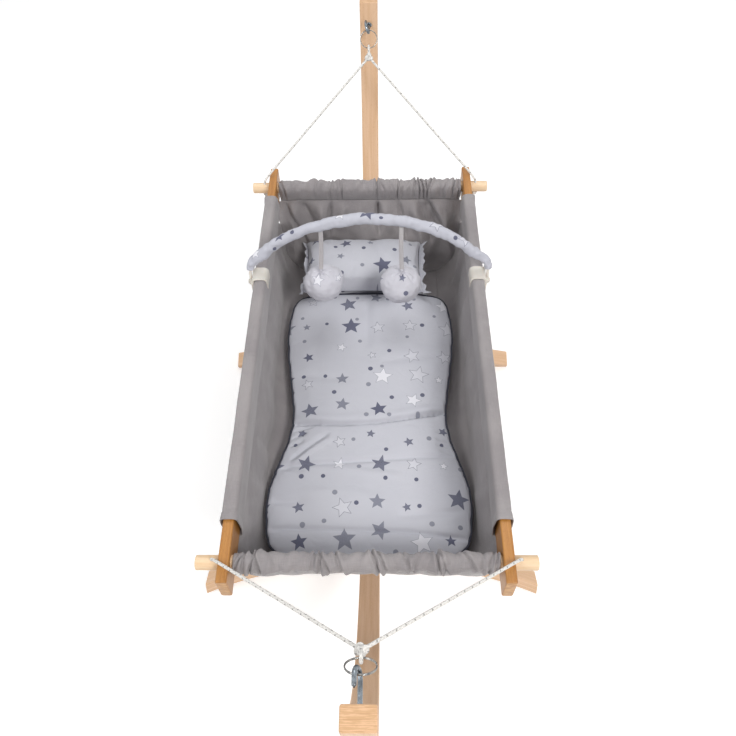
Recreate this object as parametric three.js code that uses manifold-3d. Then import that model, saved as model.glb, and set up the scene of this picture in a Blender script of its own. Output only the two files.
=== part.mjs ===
// A hanging baby cradle: a cloth basket on a frame of rails and dowels, hung by cords
// from the two ends of a bent wooden beam that stands on two bent cross feet.
// Millimetres, +Z up. The origin is on the floor under the middle of the beam,
// +Y points to the head end and +X to the right side seen from the foot end.
import * as THREE from 'three';
import { mergeVertices } from 'three/addons/utils/BufferGeometryUtils.js';
import Module from 'manifold-3d';

const wasm = await Module();
wasm.setup();

const degrees = Math.PI / 180;

// Fits shared by all pieces
const fitGap = 0.3;
const cutOverrun = 10;

// Bent beam of the stand
const beamInnerRadius = 713;
const beamThickness = 28;
const beamWidth = 40;
const beamHalfAngle = 89 * degrees;
const beamStepCount = 32;
const spliceHalfLength = 45;
const spliceBoltOffset = 24;

// Bent cross feet
const footSplay = 21.4 * degrees;
const footTopRadius = 770;
const footThickness = 27;
const footWidth = 40;
const footHalfLength = 366;
const footSoleCut = 8.1;
const footStepCount = 26;
const footBoltOffset = 10;

// Bolts and nuts of the stand
const boltRadius = 3;
const boltHoleRadius = 3.5;
const boltHeadRadius = 7;
const boltHeadHeight = 3;
const boltThreadBeyondNut = 3;
const nutRadius = 5.8;
const nutHeight = 5;

// Screw hooks near the tips of the beam
const hookDropBelowCentre = 61;
const hookWireRadius = 3;
const hookBendRadius = 10;
const hookBendReach = 32;
const hookReturnLength = 14;
const hookThreadDepth = 20;
const hookHoleRadius = 3.4;
const hookBendSteps = 8;
const collarRadius = 6.5;
const collarThickness = 1.6;

// Split rings
const ringRadius = 18.5;
const ringWireRadius = 1.5;
const ringSlack = 0.5;

// Wooden frame of the cradle
const hangRun = 228.4;
const basketClearance = 77.6;
const dowelRadius = 12;
const dowelLength = 540;
const dowelClearance = 0.4;
const railOverhang = 41;
const railThickness = 18;
const railHeight = 60;
const railRiseAboveDowel = 24;
const railOuterSpan = 462;
const railChamfer = 2.5;

// Cords
const cordRadius = 2.5;
const cordHoleRadius = 3.2;
const cordHoleInset = 27;
const cordBendRise = 28.6;
const cordBendInset = 10.5;
const cordBendRun = 8.5;
const knotDistance = 61;
const knotRadius = 9;
const knotLength = 19;
const stopperRadius = 6;
const cordEndGap = 0.9;

// Cloth basket
const clothThickness = 2.4;
const sleeveSlack = 0.8;
const railSleeveInset = 61;
const dowelSleeveInset = 4;
const dowelSleeveRadius = 17;
const gatherDepth = 3.6;
const gatherRows = 42;
const hemDepth = 32;
const hemHalfDepth = 21;
const hemInset = 5;
const hemHalfThickness = 3.2;
const basketDepth = 207;
const basketBottomWidth = 408;
const basketEndLean = 52;
const cornerSlitDepth = 50;
const cornerSlitReach = 36;
const seamGap = 1.2;
const sideBillow = 5;
const endFoldDepth = 4;

// Mattress and pillow
const mattressEndGap = 13;
const mattressSideGap = 4;
const mattressThickness = 54;
const mattressChannelDepth = 6;
const pillowWidth = 292;
const pillowLength = 170;
const pillowThickness = 60;
const pillowOffset = -17;
const pillowEndGap = 72;
const crownPower = 0.6;

// Toy bar with its clips
const clipBeforePillow = 178;
const clipLength = 34;
const clipWall = 3;
const clipPlateWall = 5;
const clipInnerLeg = 24;
const clipOuterLeg = 36;
const clipCorner = 4.5;
const pivotDrop = 22;
const pinRadius = 2.4;
const pinHeadRadius = 4.6;
const pinHeadHeight = 2;
const pinHoleRadius = 2.8;
const eyeRadius = 7;
const eyeThickness = 6;
const barRodRadius = 3;
const barRise = 137;
const barLean = 17.8 * degrees;
const barSleeveRadius = 12;
const barSleeveBore = 4.8;
const barSleeveStart = 33;
const barSleeveCrease = 1.2;
const barTaperRows = 3;
const barSearchSteps = 400;

// Hanging toys
const ribbonWidth = 9;
const ribbonThickness = 1.2;
const ribbonLeftLength = 110;
const ribbonRightLength = 124;
const ballRadius = 41;
const toyLeftOffset = -97;
const toyRightOffset = 67;

// Outlines, as shares of the sizes that they follow
// Each pair is the place from the foot end as a share of the length, then the half width
const mattressOutlineShares = [
  [0, 0.72], [0.012, 0.86], [0.035, 0.935], [0.075, 0.975], [0.14, 0.995], [0.19, 0.985], [0.23, 0.95],
  [0.275, 0.9], [0.33, 0.84], [0.385, 0.81], [0.43, 0.815], [0.49, 0.845], [0.55, 0.88], [0.62, 0.92],
  [0.69, 0.94], [0.755, 0.925], [0.8, 0.87], [0.84, 0.76], [0.89, 0.67], [0.94, 0.6], [0.98, 0.5], [1, 0.38],
];
const mattressChannelShares = [0.395, 0.29];
const channelHalfShare = 0.012;
// Where a cushion's widest edge lies in its thickness, and how its crown swells in from its ends
const mattressEdgeShare = 0.45;
const mattressSwellShares = { reach: 0.08, start: 0.25 };
const pillowEdgeShare = 0.35;
const pillowSwellShares = { reach: 0.3, start: 0.06 };
const undersideShares = [-0.82, -0.3, 0.3, 0.82];
const pillowOutlineShares = [
  [0, 0.9], [0.02, 0.97], [0.08, 0.955], [0.2, 0.93], [0.35, 0.92], [0.5, 0.915],
  [0.65, 0.92], [0.8, 0.93], [0.92, 0.955], [0.98, 0.97], [1, 0.9],
];
// Each pair is the place across as a share of the half span, then the height as a share of the rise
const barCurveShares = [
  [1, 0], [1, 0.12], [1, 0.24], [0.97, 0.33], [0.865, 0.47], [0.715, 0.675], [0.51, 0.84], [0.27, 0.955],
];
const cordPointShares = [0.25, 0.5, 0.75, 1];
// A bolt head's shoulder, out and up
const boltDomeShares = [0.8, 0.7];
// Each pair is the distance off the ball's axis, then the height, as shares of the ball's radius
const ballProfileShares = [
  [0, -0.88], [0.3, -0.85], [0.58, -0.73], [0.82, -0.5], [0.96, -0.2], [1, 0.08], [0.93, 0.4],
  [0.74, 0.66], [0.48, 0.83], [0.24, 0.9], [0.13, 0.93], [0.2, 1.02], [0.16, 1.06], [0, 1.06],
];
const gatherShares = [0, 0.7, 1, 0.5, 0.1, 0.85, 0.3];
const sideWaveShares = [0, 0.22, 0.12, -0.1, 0.05, 0.25, -0.06];
const clothFoldShares = [0, 0.13, 0.31, 0.42, 0.6, 0.71, 0.88, 1];

// Sizes worked out from the ones above
const beamOuterRadius = beamInnerRadius + beamThickness;
const beamMiddleRadius = beamInnerRadius + beamThickness / 2;
const footCrown = beamOuterRadius + fitGap;
const footUnderRadius = footTopRadius - footThickness;
const footEndReach = footCrown + footTopRadius - Math.sqrt(footUnderRadius ** 2 - footHalfLength ** 2);
const beamCentreHeight = footEndReach * Math.cos(footSplay) - footSoleCut;
const hookHeight = beamCentreHeight - hookDropBelowCentre;
const hookFaceY = Math.sqrt(beamInnerRadius ** 2 - hookDropBelowCentre ** 2);
const hookBendY = hookFaceY - hookBendReach;
const hookBendZ = hookHeight + hookBendRadius;
const dowelSpacing = 2 * (hookBendY - hangRun);
const basketBottomLength = dowelSpacing - 2 * basketEndLean;
const beamUnderBasket = beamCentreHeight - Math.sqrt(beamInnerRadius ** 2 - (basketBottomLength / 2) ** 2);
const dowelHeight = beamUnderBasket + basketClearance + basketDepth;
const railLength = dowelSpacing + 2 * railOverhang;
const railSleeveLength = dowelSpacing - 2 * railSleeveInset;
const mattressLength = basketBottomLength - 2 * mattressEndGap;
const mattressHalfWidth = basketBottomWidth / 2 - mattressSideGap;
const pillowCentre = basketBottomLength / 2 - pillowEndGap;
const clipCentre = pillowCentre - clipBeforePillow;
const railInnerFace = railOuterSpan / 2 - railThickness;
const dowelSleeveLength = 2 * (railInnerFace - dowelSleeveInset);
const railCentreX = railOuterSpan / 2 - railThickness / 2;
const railCentreZ = railRiseAboveDowel - railHeight / 2;
const cordHoleX = dowelLength / 2 - cordHoleInset;
const sleeveHalfWidth = railThickness / 2 + sleeveSlack + clothThickness;
const sleeveHalfHeight = railHeight / 2 + sleeveSlack + clothThickness;
const sleeveOuterX = railCentreX + sleeveHalfWidth;
const sleeveTopZ = railCentreZ + sleeveHalfHeight;
const sleeveBottomZ = railCentreZ - sleeveHalfHeight;
const basketFloorZ = -basketDepth;
const pivotZ = sleeveTopZ + fitGap + clipWall - pivotDrop;
const eyeCentreX = sleeveOuterX + clipPlateWall + 2 * fitGap + eyeThickness / 2;
const pullFall = hookBendZ - dowelHeight;
const pullLength = Math.hypot(hangRun, pullFall);
const pull = new THREE.Vector3(0, -hangRun / pullLength, -pullFall / pullLength);
const ringSeat = hookBendRadius - hookWireRadius - ringWireRadius - ringSlack;

// Angles round a dowel, in degrees off straight down, of the points of its gathered sleeve
const gatherTurns = [42, 66, 92, 120, 150, 180, 210, 240, 268, 294, 318];
const hemTurns = [-24, -8, 8, 24];

// Materials
function finish(colour, roughness, metalness = 0) {
  return new THREE.MeshStandardMaterial({ color: colour, roughness, metalness });
}
const paleWood = finish(0xe0bd9c, 0.55);
const varnishedWood = finish(0xc98a42, 0.35);
const dowelWood = finish(0xf0d5a8, 0.6);
const greyCloth = finish(0x8b8783, 0.9);
const printedCloth = finish(0xc3c3cc, 0.9);
const ballCloth = finish(0xdad8e0, 0.9);
const ribbonCloth = finish(0xd9ccc6, 0.85);
const whiteCord = finish(0xe4e2de, 0.9);
const zincSteel = finish(0xb9bec2, 0.35, 0.9);
const nickelSteel = finish(0xc8c4bc, 0.22, 0.95);
const ivoryPlastic = finish(0xe8e0d3, 0.45);

const cradle = new THREE.Group();
const stand = new THREE.Group();
const basket = new THREE.Group();
basket.position.z = dowelHeight;
cradle.add(stand, basket);

function addPiece(parent, name, geometry, material) {
  const mesh = new THREE.Mesh(geometry, material);
  mesh.name = name;
  parent.add(mesh);
  return mesh;
}

// Solids and cuts
function solidOf(geometry) {
  const bare = geometry.clone();
  bare.deleteAttribute('normal');
  bare.deleteAttribute('uv');
  const merged = mergeVertices(bare);
  return new wasm.Manifold(new wasm.Mesh({
    numProp: 3,
    vertProperties: new Float32Array(merged.attributes.position.array),
    triVerts: new Uint32Array(merged.index.array),
  }));
}

function geometryOf(solid) {
  const mesh = solid.getMesh();
  const geometry = new THREE.BufferGeometry();
  geometry.setAttribute('position', new THREE.BufferAttribute(new Float32Array(mesh.vertProperties), 3));
  geometry.setIndex(new THREE.BufferAttribute(new Uint32Array(mesh.triVerts), 1));
  geometry.computeVertexNormals();
  return geometry;
}

function cut(geometry, tools) {
  let solid = solidOf(geometry);
  for (const tool of tools) {
    solid = solid.subtract(solidOf(tool));
  }
  return geometryOf(solid);
}

function join(geometries) {
  let solid = solidOf(geometries[0]);
  for (const other of geometries.slice(1)) {
    solid = solid.add(solidOf(other));
  }
  return geometryOf(solid);
}

// A profile drawn in (y, z) and carried across the beam's width in x
function acrossX(points, width) {
  const shape = new THREE.Shape(points.map(([y, z]) => new THREE.Vector2(y, z)));
  const geometry = new THREE.ExtrudeGeometry(shape, { depth: width, bevelEnabled: false, steps: 1 });
  const axes = new THREE.Matrix4().makeBasis(
    new THREE.Vector3(0, 1, 0), new THREE.Vector3(0, 0, 1), new THREE.Vector3(1, 0, 0));
  geometry.applyMatrix4(axes);
  geometry.translate(-width / 2, 0, 0);
  return geometry;
}

// A profile drawn in (x, z) and carried along y
function alongY(shape, length) {
  const geometry = new THREE.ExtrudeGeometry(shape, { depth: length, bevelEnabled: false, steps: 1, curveSegments: 4 });
  geometry.rotateX(90 * degrees);
  geometry.translate(0, length / 2, 0);
  return geometry;
}

function rod(radius, length, sides) {
  const geometry = new THREE.CylinderGeometry(radius, radius, length, sides);
  geometry.rotateX(90 * degrees);
  return geometry;
}

function tube(curve, radius, sides, steps) {
  const section = new THREE.Shape();
  for (let i = 0; i < sides; i += 1) {
    const turn = (i / sides) * 360 * degrees;
    const x = radius * Math.cos(turn);
    const y = radius * Math.sin(turn);
    if (i === 0) section.moveTo(x, y);
    else section.lineTo(x, y);
  }
  section.closePath();
  return new THREE.ExtrudeGeometry(section, { steps, extrudePath: curve, bevelEnabled: false });
}

// A closed body through rings of equally many points, with a flat end at each end
function loft(rings) {
  const size = rings[0].length;
  const positions = rings.flat().flatMap((point) => [point.x, point.y, point.z]);
  const indices = [];
  for (let row = 0; row + 1 < rings.length; row += 1) {
    for (let i = 0; i < size; i += 1) {
      const next = (i + 1) % size;
      const a = row * size + i;
      const b = row * size + next;
      indices.push(a, b, b + size, a, b + size, a + size);
    }
  }
  for (const [row, turned] of [[0, true], [rings.length - 1, false]]) {
    const centre = new THREE.Vector3();
    rings[row].forEach((point) => centre.add(point));
    centre.divideScalar(size);
    const middle = positions.length / 3;
    positions.push(centre.x, centre.y, centre.z);
    for (let i = 0; i < size; i += 1) {
      const a = row * size + i;
      const b = row * size + ((i + 1) % size);
      if (turned) indices.push(a, middle, b);
      else indices.push(b, middle, a);
    }
  }
  return outward(positions, indices);
}

// A closed sleeve between outer rings and inner rings of equally many points
function sleeve(outerRings, innerRings) {
  const size = outerRings[0].length;
  const rows = outerRings.length;
  const lastInner = innerRings.length - 1;
  const positions = [...outerRings, ...innerRings].flat().flatMap((point) => [point.x, point.y, point.z]);
  const indices = [];
  const quad = (a, b, c, d) => indices.push(a, b, c, a, c, d);
  for (let i = 0; i < size; i += 1) {
    const next = (i + 1) % size;
    for (let row = 0; row + 1 < rows; row += 1) {
      const a = row * size;
      quad(a + i, a + next, a + size + next, a + size + i);
    }
    for (let row = 0; row < lastInner; row += 1) {
      const a = (rows + row) * size;
      quad(a + next, a + i, a + size + i, a + size + next);
    }
    const innerFirst = rows * size;
    const innerEnd = (rows + lastInner) * size;
    const outerEnd = (rows - 1) * size;
    quad(i, innerFirst + i, innerFirst + next, next);
    quad(outerEnd + next, innerEnd + next, innerEnd + i, outerEnd + i);
  }
  return outward(positions, indices);
}

// Cloth between a front and a back surface, given as grids of points
function clothSolid(front, back) {
  const rows = front.length;
  const columns = front[0].length;
  const positions = [...front, ...back].flat().flatMap((point) => [point.x, point.y, point.z]);
  const indices = [];
  const behind = rows * columns;
  const quad = (a, b, c, d) => indices.push(a, b, c, a, c, d);
  for (let row = 0; row + 1 < rows; row += 1) {
    for (let i = 0; i + 1 < columns; i += 1) {
      const a = row * columns + i;
      quad(a, a + 1, a + columns + 1, a + columns);
      quad(behind + a, behind + a + columns, behind + a + columns + 1, behind + a + 1);
    }
  }
  for (let i = 0; i + 1 < columns; i += 1) {
    const last = (rows - 1) * columns + i;
    quad(i + 1, i, behind + i, behind + i + 1);
    quad(last, last + 1, behind + last + 1, behind + last);
  }
  for (let row = 0; row + 1 < rows; row += 1) {
    const left = row * columns;
    const right = left + columns - 1;
    quad(left, left + columns, behind + left + columns, behind + left);
    quad(right + columns, right, behind + right, behind + right + columns);
  }
  return outward(positions, indices);
}

// Turns a closed body's faces outward if they face in
function outward(positions, indices) {
  let volume = 0;
  const at = (index) => new THREE.Vector3().fromArray(positions, index * 3);
  for (let i = 0; i < indices.length; i += 3) {
    const a = at(indices[i]);
    volume += a.dot(at(indices[i + 1]).cross(at(indices[i + 2])));
  }
  const facing = volume > 0 ? indices : indices.map((_, i) => indices[i - (i % 3) + [0, 2, 1][i % 3]]);
  const geometry = new THREE.BufferGeometry();
  geometry.setAttribute('position', new THREE.Float32BufferAttribute(positions, 3));
  geometry.setIndex(facing);
  geometry.computeVertexNormals();
  return geometry;
}

// The stand
// Points on an arc round the beam's centre, from an angle off straight down to another
function arc(radius, from, to, steps) {
  const points = [];
  for (let i = 0; i <= steps; i += 1) {
    const angle = from + ((to - from) * i) / steps;
    points.push([radius * Math.sin(angle), -radius * Math.cos(angle)]);
  }
  return points;
}

// Turns a piece built under the arc's centre out to an angle along the beam, then lifts it
function placeOnBeam(geometry, angle) {
  geometry.rotateX(angle);
  geometry.translate(0, 0, beamCentreHeight);
  return geometry;
}

const lapAngle = spliceHalfLength / beamMiddleRadius;
const gapAngle = fitGap / beamMiddleRadius;
const footHoles = [-1, 1].map((end) => end * footBoltOffset);

function beamBoltHoles(end) {
  const length = beamThickness + footThickness + 2 * cutOverrun;
  const centre = -(beamInnerRadius + length / 2 - cutOverrun);
  const angles = [-1, 1].map((place) => (place * spliceBoltOffset) / beamMiddleRadius);
  for (const along of footHoles) {
    angles.push(end * footSplay + along / beamMiddleRadius);
  }
  return angles.map((angle) => {
    const hole = rod(boltHoleRadius, length, 12);
    hole.translate(0, 0, centre);
    return placeOnBeam(hole, angle);
  });
}

function hookHole(end) {
  const hole = new THREE.CylinderGeometry(hookHoleRadius, hookHoleRadius, hookThreadDepth + fitGap + cutOverrun, 12);
  const middle = hookFaceY + (hookThreadDepth + fitGap - cutOverrun) / 2;
  hole.translate(0, end * middle, hookHeight);
  return hole;
}

// The head half's tongue lies under the foot half's tongue
function beamHalf(end) {
  const lowerTongue = end > 0;
  const tongueGap = lowerTongue ? fitGap / 2 : -fitGap / 2;
  const middle = beamMiddleRadius + tongueGap;
  const outerFrom = lowerTongue ? -lapAngle + gapAngle : lapAngle;
  const innerFrom = lowerTongue ? lapAngle : -lapAngle + gapAngle;
  const points = [
    ...arc(beamOuterRadius, outerFrom, beamHalfAngle, beamStepCount),
    ...arc(beamInnerRadius, beamHalfAngle, innerFrom, beamStepCount),
    ...arc(middle, innerFrom, outerFrom, 4),
  ];
  const geometry = acrossX(points.map(([y, z]) => [end * y, z]), beamWidth);
  geometry.translate(0, 0, beamCentreHeight);
  return cut(geometry, [...beamBoltHoles(end), hookHole(end)]);
}

function footArch(end) {
  const centre = -footCrown - footTopRadius;
  const reach = (radius) => Math.asin(Math.min((footHalfLength + 2 * cutOverrun) / radius, 1));
  const side = (radius, from, to) => {
    const points = [];
    for (let i = 0; i <= footStepCount; i += 1) {
      const angle = from + ((to - from) * i) / footStepCount;
      points.push(new THREE.Vector2(radius * Math.sin(angle), centre + radius * Math.cos(angle)));
    }
    return points;
  };
  const top = reach(footTopRadius);
  const bottom = reach(footUnderRadius);
  const shape = new THREE.Shape([...side(footTopRadius, -top, top), ...side(footUnderRadius, bottom, -bottom)]);
  const arch = placeOnBeam(alongY(shape, footWidth), end * footSplay);
  const span = new THREE.BoxGeometry(2 * footHalfLength, 2 * footEndReach, beamCentreHeight);
  span.translate(0, 0, beamCentreHeight / 2);
  const trimmed = geometryOf(solidOf(arch).intersect(solidOf(span)));
  return cut(trimmed, beamBoltHoles(end).slice(2));
}

// A domed bolt with its head at the inner face of the beam, pointing outward
function bolt(gripLength) {
  const end = gripLength + 2 * fitGap + nutHeight + boltThreadBeyondNut;
  const profile = [
    [0, 0], [boltRadius, 0], [boltRadius, end], [boltHeadRadius, end],
    [boltHeadRadius * boltDomeShares[0], end + boltHeadHeight * boltDomeShares[1]], [0, end + boltHeadHeight],
  ];
  const geometry = new THREE.LatheGeometry(profile.map(([x, y]) => new THREE.Vector2(x, y)), 12);
  geometry.rotateX(90 * degrees);
  geometry.translate(0, 0, -end - beamInnerRadius + fitGap);
  return geometry;
}

function nut(gripLength) {
  const bore = boltRadius + 2 * fitGap;
  const profile = [[bore, 0], [nutRadius, 0], [nutRadius, nutHeight], [bore, nutHeight], [bore, 0]];
  const geometry = new THREE.LatheGeometry(profile.map(([x, y]) => new THREE.Vector2(x, y)), 6);
  geometry.rotateX(90 * degrees);
  geometry.translate(0, 0, -(beamInnerRadius + gripLength + fitGap + nutHeight));
  return geometry;
}

function boltsAndNuts(name, angles, gripLength) {
  angles.forEach((angle, i) => {
    addPiece(stand, `${name}_bolt_${i + 1}`, placeOnBeam(bolt(gripLength), angle), zincSteel);
    addPiece(stand, `${name}_nut_${i + 1}`, placeOnBeam(nut(gripLength), angle), zincSteel);
  });
}

function addStand() {
  for (const [endName, end] of [['head', 1], ['foot', -1]]) {
    addPiece(stand, `beam_${endName}_half`, beamHalf(end), paleWood);
    addPiece(stand, `cross_foot_${endName}`, footArch(end), paleWood);
    const angles = footHoles.map((along) => end * footSplay + along / beamMiddleRadius);
    boltsAndNuts(`cross_foot_${endName}`, angles, beamThickness + footThickness + 2 * fitGap);
  }
  const spliceAngles = [-1, 1].map((place) => (place * spliceBoltOffset) / beamMiddleRadius);
  boltsAndNuts('beam_splice', spliceAngles, beamThickness);
}

// Screw hooks and split rings
// The collar of the hook stops against the leaning face of the beam
function screwHook(end) {
  const points = [
    [hookFaceY + hookThreadDepth, hookHeight], [hookFaceY, hookHeight],
    [hookBendY + hookBendRadius, hookHeight], [hookBendY + hookWireRadius, hookHeight],
  ];
  for (let i = 0; i <= hookBendSteps; i += 1) {
    const turn = (i / hookBendSteps) * 180 * degrees;
    points.push([hookBendY - hookBendRadius * Math.sin(turn), hookBendZ - hookBendRadius * Math.cos(turn)]);
  }
  points.push([hookBendY + hookReturnLength / 2, hookBendZ + hookBendRadius]);
  points.push([hookBendY + hookReturnLength, hookBendZ + hookBendRadius]);
  const curve = new THREE.CatmullRomCurve3(points.map(([y, z]) => new THREE.Vector3(0, end * y, z)));
  const collar = new THREE.CylinderGeometry(collarRadius, collarRadius, collarThickness, 12);
  const lean = collarRadius * (hookDropBelowCentre / hookFaceY);
  collar.translate(0, end * (hookFaceY - collarThickness / 2 - fitGap - lean), hookHeight);
  return join([tube(curve, hookWireRadius, 8, 26), collar]);
}

// A point at a distance along the pull of the cords, from the centre of the hook's bend
function alongPull(end, distance) {
  return new THREE.Vector3(0, end * (hookBendY + pull.y * distance), hookBendZ + pull.z * distance);
}

function splitRing(end) {
  const geometry = new THREE.TorusGeometry(ringRadius, ringWireRadius, 8, 28);
  geometry.rotateX(Math.atan2(-pull.z, -end * pull.y));
  const centre = alongPull(end, ringSeat + ringRadius);
  geometry.translate(centre.x, centre.y, centre.z);
  return geometry;
}

// The knot and the bight that goes round the ring's lowest point
function cordKnot(end) {
  const ringBottom = ringSeat + 2 * ringRadius;
  const bightRadius = ringWireRadius + ringSlack + cordRadius;
  const side = new THREE.Vector3(1, 0, 0).cross(new THREE.Vector3(0, end * pull.y, pull.z));
  const points = [alongPull(end, knotDistance).addScaledVector(side, bightRadius)];
  for (let i = 0; i <= 6; i += 1) {
    const turn = (i / 6) * 180 * degrees;
    const point = alongPull(end, ringBottom - bightRadius * Math.sin(turn));
    points.push(point.addScaledVector(side, bightRadius * Math.cos(turn)));
  }
  points.push(alongPull(end, knotDistance).addScaledVector(side, -bightRadius));
  const bight = tube(new THREE.CatmullRomCurve3(points), cordRadius, 8, 20);
  const knot = new THREE.SphereGeometry(1, 12, 8);
  knot.scale(knotRadius, knotLength / 2, knotRadius);
  knot.rotateX(Math.atan2(-pull.z, -end * pull.y));
  const centre = alongPull(end, knotDistance);
  knot.translate(centre.x, centre.y, centre.z);
  return join([bight, knot]);
}

// A cord from its stopper knot under the dowel, up through the hole and over the rail to the knot
function hangingCord(end, side) {
  const dowelY = dowelSpacing / 2;
  const stopperZ = -dowelRadius - fitGap - stopperRadius;
  const points = [
    new THREE.Vector3(cordHoleX, dowelY, stopperZ),
    new THREE.Vector3(cordHoleX, dowelY, 0),
    new THREE.Vector3(cordHoleX, dowelY, dowelRadius),
    new THREE.Vector3(cordHoleX - cordBendInset, dowelY + cordBendRun, cordBendRise),
  ];
  const knot = alongPull(1, knotDistance);
  const way = new THREE.Vector3(0, knot.y, knot.z - dowelHeight).sub(points[3]);
  const stop = 1 - (knotRadius + cordEndGap) / way.length();
  for (const share of cordPointShares) {
    points.push(points[3].clone().addScaledVector(way, share * stop));
  }
  const placed = points.map((point) => new THREE.Vector3(side * point.x, end * point.y, point.z));
  const stopper = new THREE.SphereGeometry(stopperRadius, 10, 6);
  stopper.translate(placed[0].x, placed[0].y, placed[0].z);
  return join([tube(new THREE.CatmullRomCurve3(placed), cordRadius, 8, 24), stopper]);
}

function addHangers() {
  for (const [endName, end] of [['head', 1], ['foot', -1]]) {
    addPiece(stand, `screw_hook_${endName}`, screwHook(end), zincSteel);
    addPiece(stand, `split_ring_${endName}`, splitRing(end), nickelSteel);
    addPiece(stand, `cord_knot_${endName}`, cordKnot(end), whiteCord);
    for (const [sideName, side] of [['left', -1], ['right', 1]]) {
      addPiece(basket, `cord_${endName}_${sideName}`, hangingCord(end, side), whiteCord);
    }
  }
}

// The wooden frame
function dowel() {
  const bar = new THREE.CylinderGeometry(dowelRadius, dowelRadius, dowelLength, 20);
  bar.rotateZ(90 * degrees);
  const holes = [-1, 1].map((side) => {
    const hole = rod(cordHoleRadius, 2 * (dowelRadius + cutOverrun), 12);
    hole.translate(side * cordHoleX, 0, 0);
    return hole;
  });
  return cut(bar, holes);
}

function rail() {
  const halfWidth = railThickness / 2;
  const halfHeight = railHeight / 2;
  const corners = [];
  for (const [x, z] of [[1, 1], [-1, 1], [-1, -1], [1, -1]]) {
    const flat = new THREE.Vector2(x * (halfWidth - railChamfer), z * halfHeight);
    const upright = new THREE.Vector2(x * halfWidth, z * (halfHeight - railChamfer));
    if (x * z > 0) corners.push(upright, flat);
    else corners.push(flat, upright);
  }
  const board = alongY(new THREE.Shape(corners), railLength);
  const holes = [-1, 1].map((end) => {
    const hole = new THREE.CylinderGeometry(dowelRadius + dowelClearance, dowelRadius + dowelClearance,
      railThickness + 2 * cutOverrun, 20);
    hole.rotateZ(90 * degrees);
    hole.translate(0, (end * dowelSpacing) / 2, -railCentreZ);
    return hole;
  });
  return cut(board, holes);
}

function addFrame() {
  for (const [endName, end] of [['head', 1], ['foot', -1]]) {
    const piece = addPiece(basket, `dowel_${endName}`, dowel(), dowelWood);
    piece.position.y = (end * dowelSpacing) / 2;
  }
  for (const [sideName, side] of [['left', -1], ['right', 1]]) {
    const piece = addPiece(basket, `rail_${sideName}`, rail(), varnishedWood);
    piece.position.set(side * railCentreX, 0, railCentreZ);
  }
}

// The cloth basket
function roundedBox(target, halfWidth, halfHeight, radius) {
  target.moveTo(halfWidth, -halfHeight + radius);
  target.lineTo(halfWidth, halfHeight - radius);
  target.absarc(halfWidth - radius, halfHeight - radius, radius, 0, 90 * degrees);
  target.lineTo(-halfWidth + radius, halfHeight);
  target.absarc(-halfWidth + radius, halfHeight - radius, radius, 90 * degrees, 180 * degrees);
  target.lineTo(-halfWidth, -halfHeight + radius);
  target.absarc(-halfWidth + radius, -halfHeight + radius, radius, 180 * degrees, 270 * degrees);
  target.lineTo(halfWidth - radius, -halfHeight);
  target.absarc(halfWidth - radius, -halfHeight + radius, radius, 270 * degrees, 360 * degrees);
  return target;
}

function railSleeve() {
  const outline = roundedBox(new THREE.Shape(), sleeveHalfWidth, sleeveHalfHeight, railChamfer + clothThickness);
  const opening = roundedBox(new THREE.Path(), sleeveHalfWidth - clothThickness, sleeveHalfHeight - clothThickness, railChamfer);
  outline.holes.push(opening);
  return alongY(outline, railSleeveLength);
}

// Heights and places on the basket's walls, by the share of the way down
const wallTop = sleeveBottomZ - fitGap;
const wallBottom = basketFloorZ + fitGap;
const endWallTop = -hemDepth - fitGap;
const endWallTopY = dowelSpacing / 2 - hemInset;

function endWallY(z) {
  const lean = endWallTopY - basketBottomLength / 2;
  return endWallTopY - (lean * (endWallTop - z)) / (endWallTop - wallBottom);
}

function sideWallX(z) {
  const lean = railCentreX - basketBottomWidth / 2;
  return railCentreX - (lean * (wallTop - z)) / (wallTop - wallBottom);
}

function sideWall(side) {
  const front = [];
  const back = [];
  const rows = 6;
  const columns = 16;
  for (let row = 0; row <= rows; row += 1) {
    const z = wallTop + ((wallBottom - wallTop) * row) / rows;
    const slit = Math.min((wallTop - z) / cornerSlitDepth, 1);
    const butt = endWallY(z) - clothThickness / 2 - seamGap;
    const end = Math.min(railSleeveLength / 2 + cornerSlitReach * slit, butt);
    const frontRow = [];
    const backRow = [];
    for (let i = 0; i <= columns; i += 1) {
      const place = (2 * i) / columns - 1;
      const sag = Math.sin((row / rows) * 180 * degrees) * (1 - place ** 4);
      const x = sideWallX(z) - sideBillow * sag * (1 - sideWaveShares[i % sideWaveShares.length]);
      frontRow.push(new THREE.Vector3(side * (x - clothThickness / 2), place * end, z));
      backRow.push(new THREE.Vector3(side * (x + clothThickness / 2), place * end, z));
    }
    front.push(frontRow);
    back.push(backRow);
  }
  return clothSolid(front, back);
}

function foldAt(place) {
  const shares = clothFoldShares;
  const after = Math.max(shares.findIndex((share) => share >= place), 1);
  const within = (place - shares[after - 1]) / (shares[after] - shares[after - 1]);
  return Math.sin(within * 180 * degrees) * (after % 2 === 0 ? 1 : -1);
}

function endWall(end) {
  const front = [];
  const back = [];
  const rows = 6;
  const columns = 24;
  for (let row = 0; row <= rows; row += 1) {
    const down = row / rows;
    const z = endWallTop + (wallBottom - endWallTop) * down;
    const half = row === 0 ? railInnerFace - seamGap : sideWallX(z) + clothThickness / 2;
    const frontRow = [];
    const backRow = [];
    for (let i = 0; i <= columns; i += 1) {
      const place = i / columns;
      const fold = foldAt(place) * endFoldDepth * Math.min(down * rows, 1) * (1 - down);
      const y = endWallY(z) - fold;
      frontRow.push(new THREE.Vector3((2 * place - 1) * half, end * (y - clothThickness / 2), z));
      backRow.push(new THREE.Vector3((2 * place - 1) * half, end * (y + clothThickness / 2), z));
    }
    front.push(frontRow);
    back.push(backRow);
  }
  return clothSolid(front, back);
}

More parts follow.
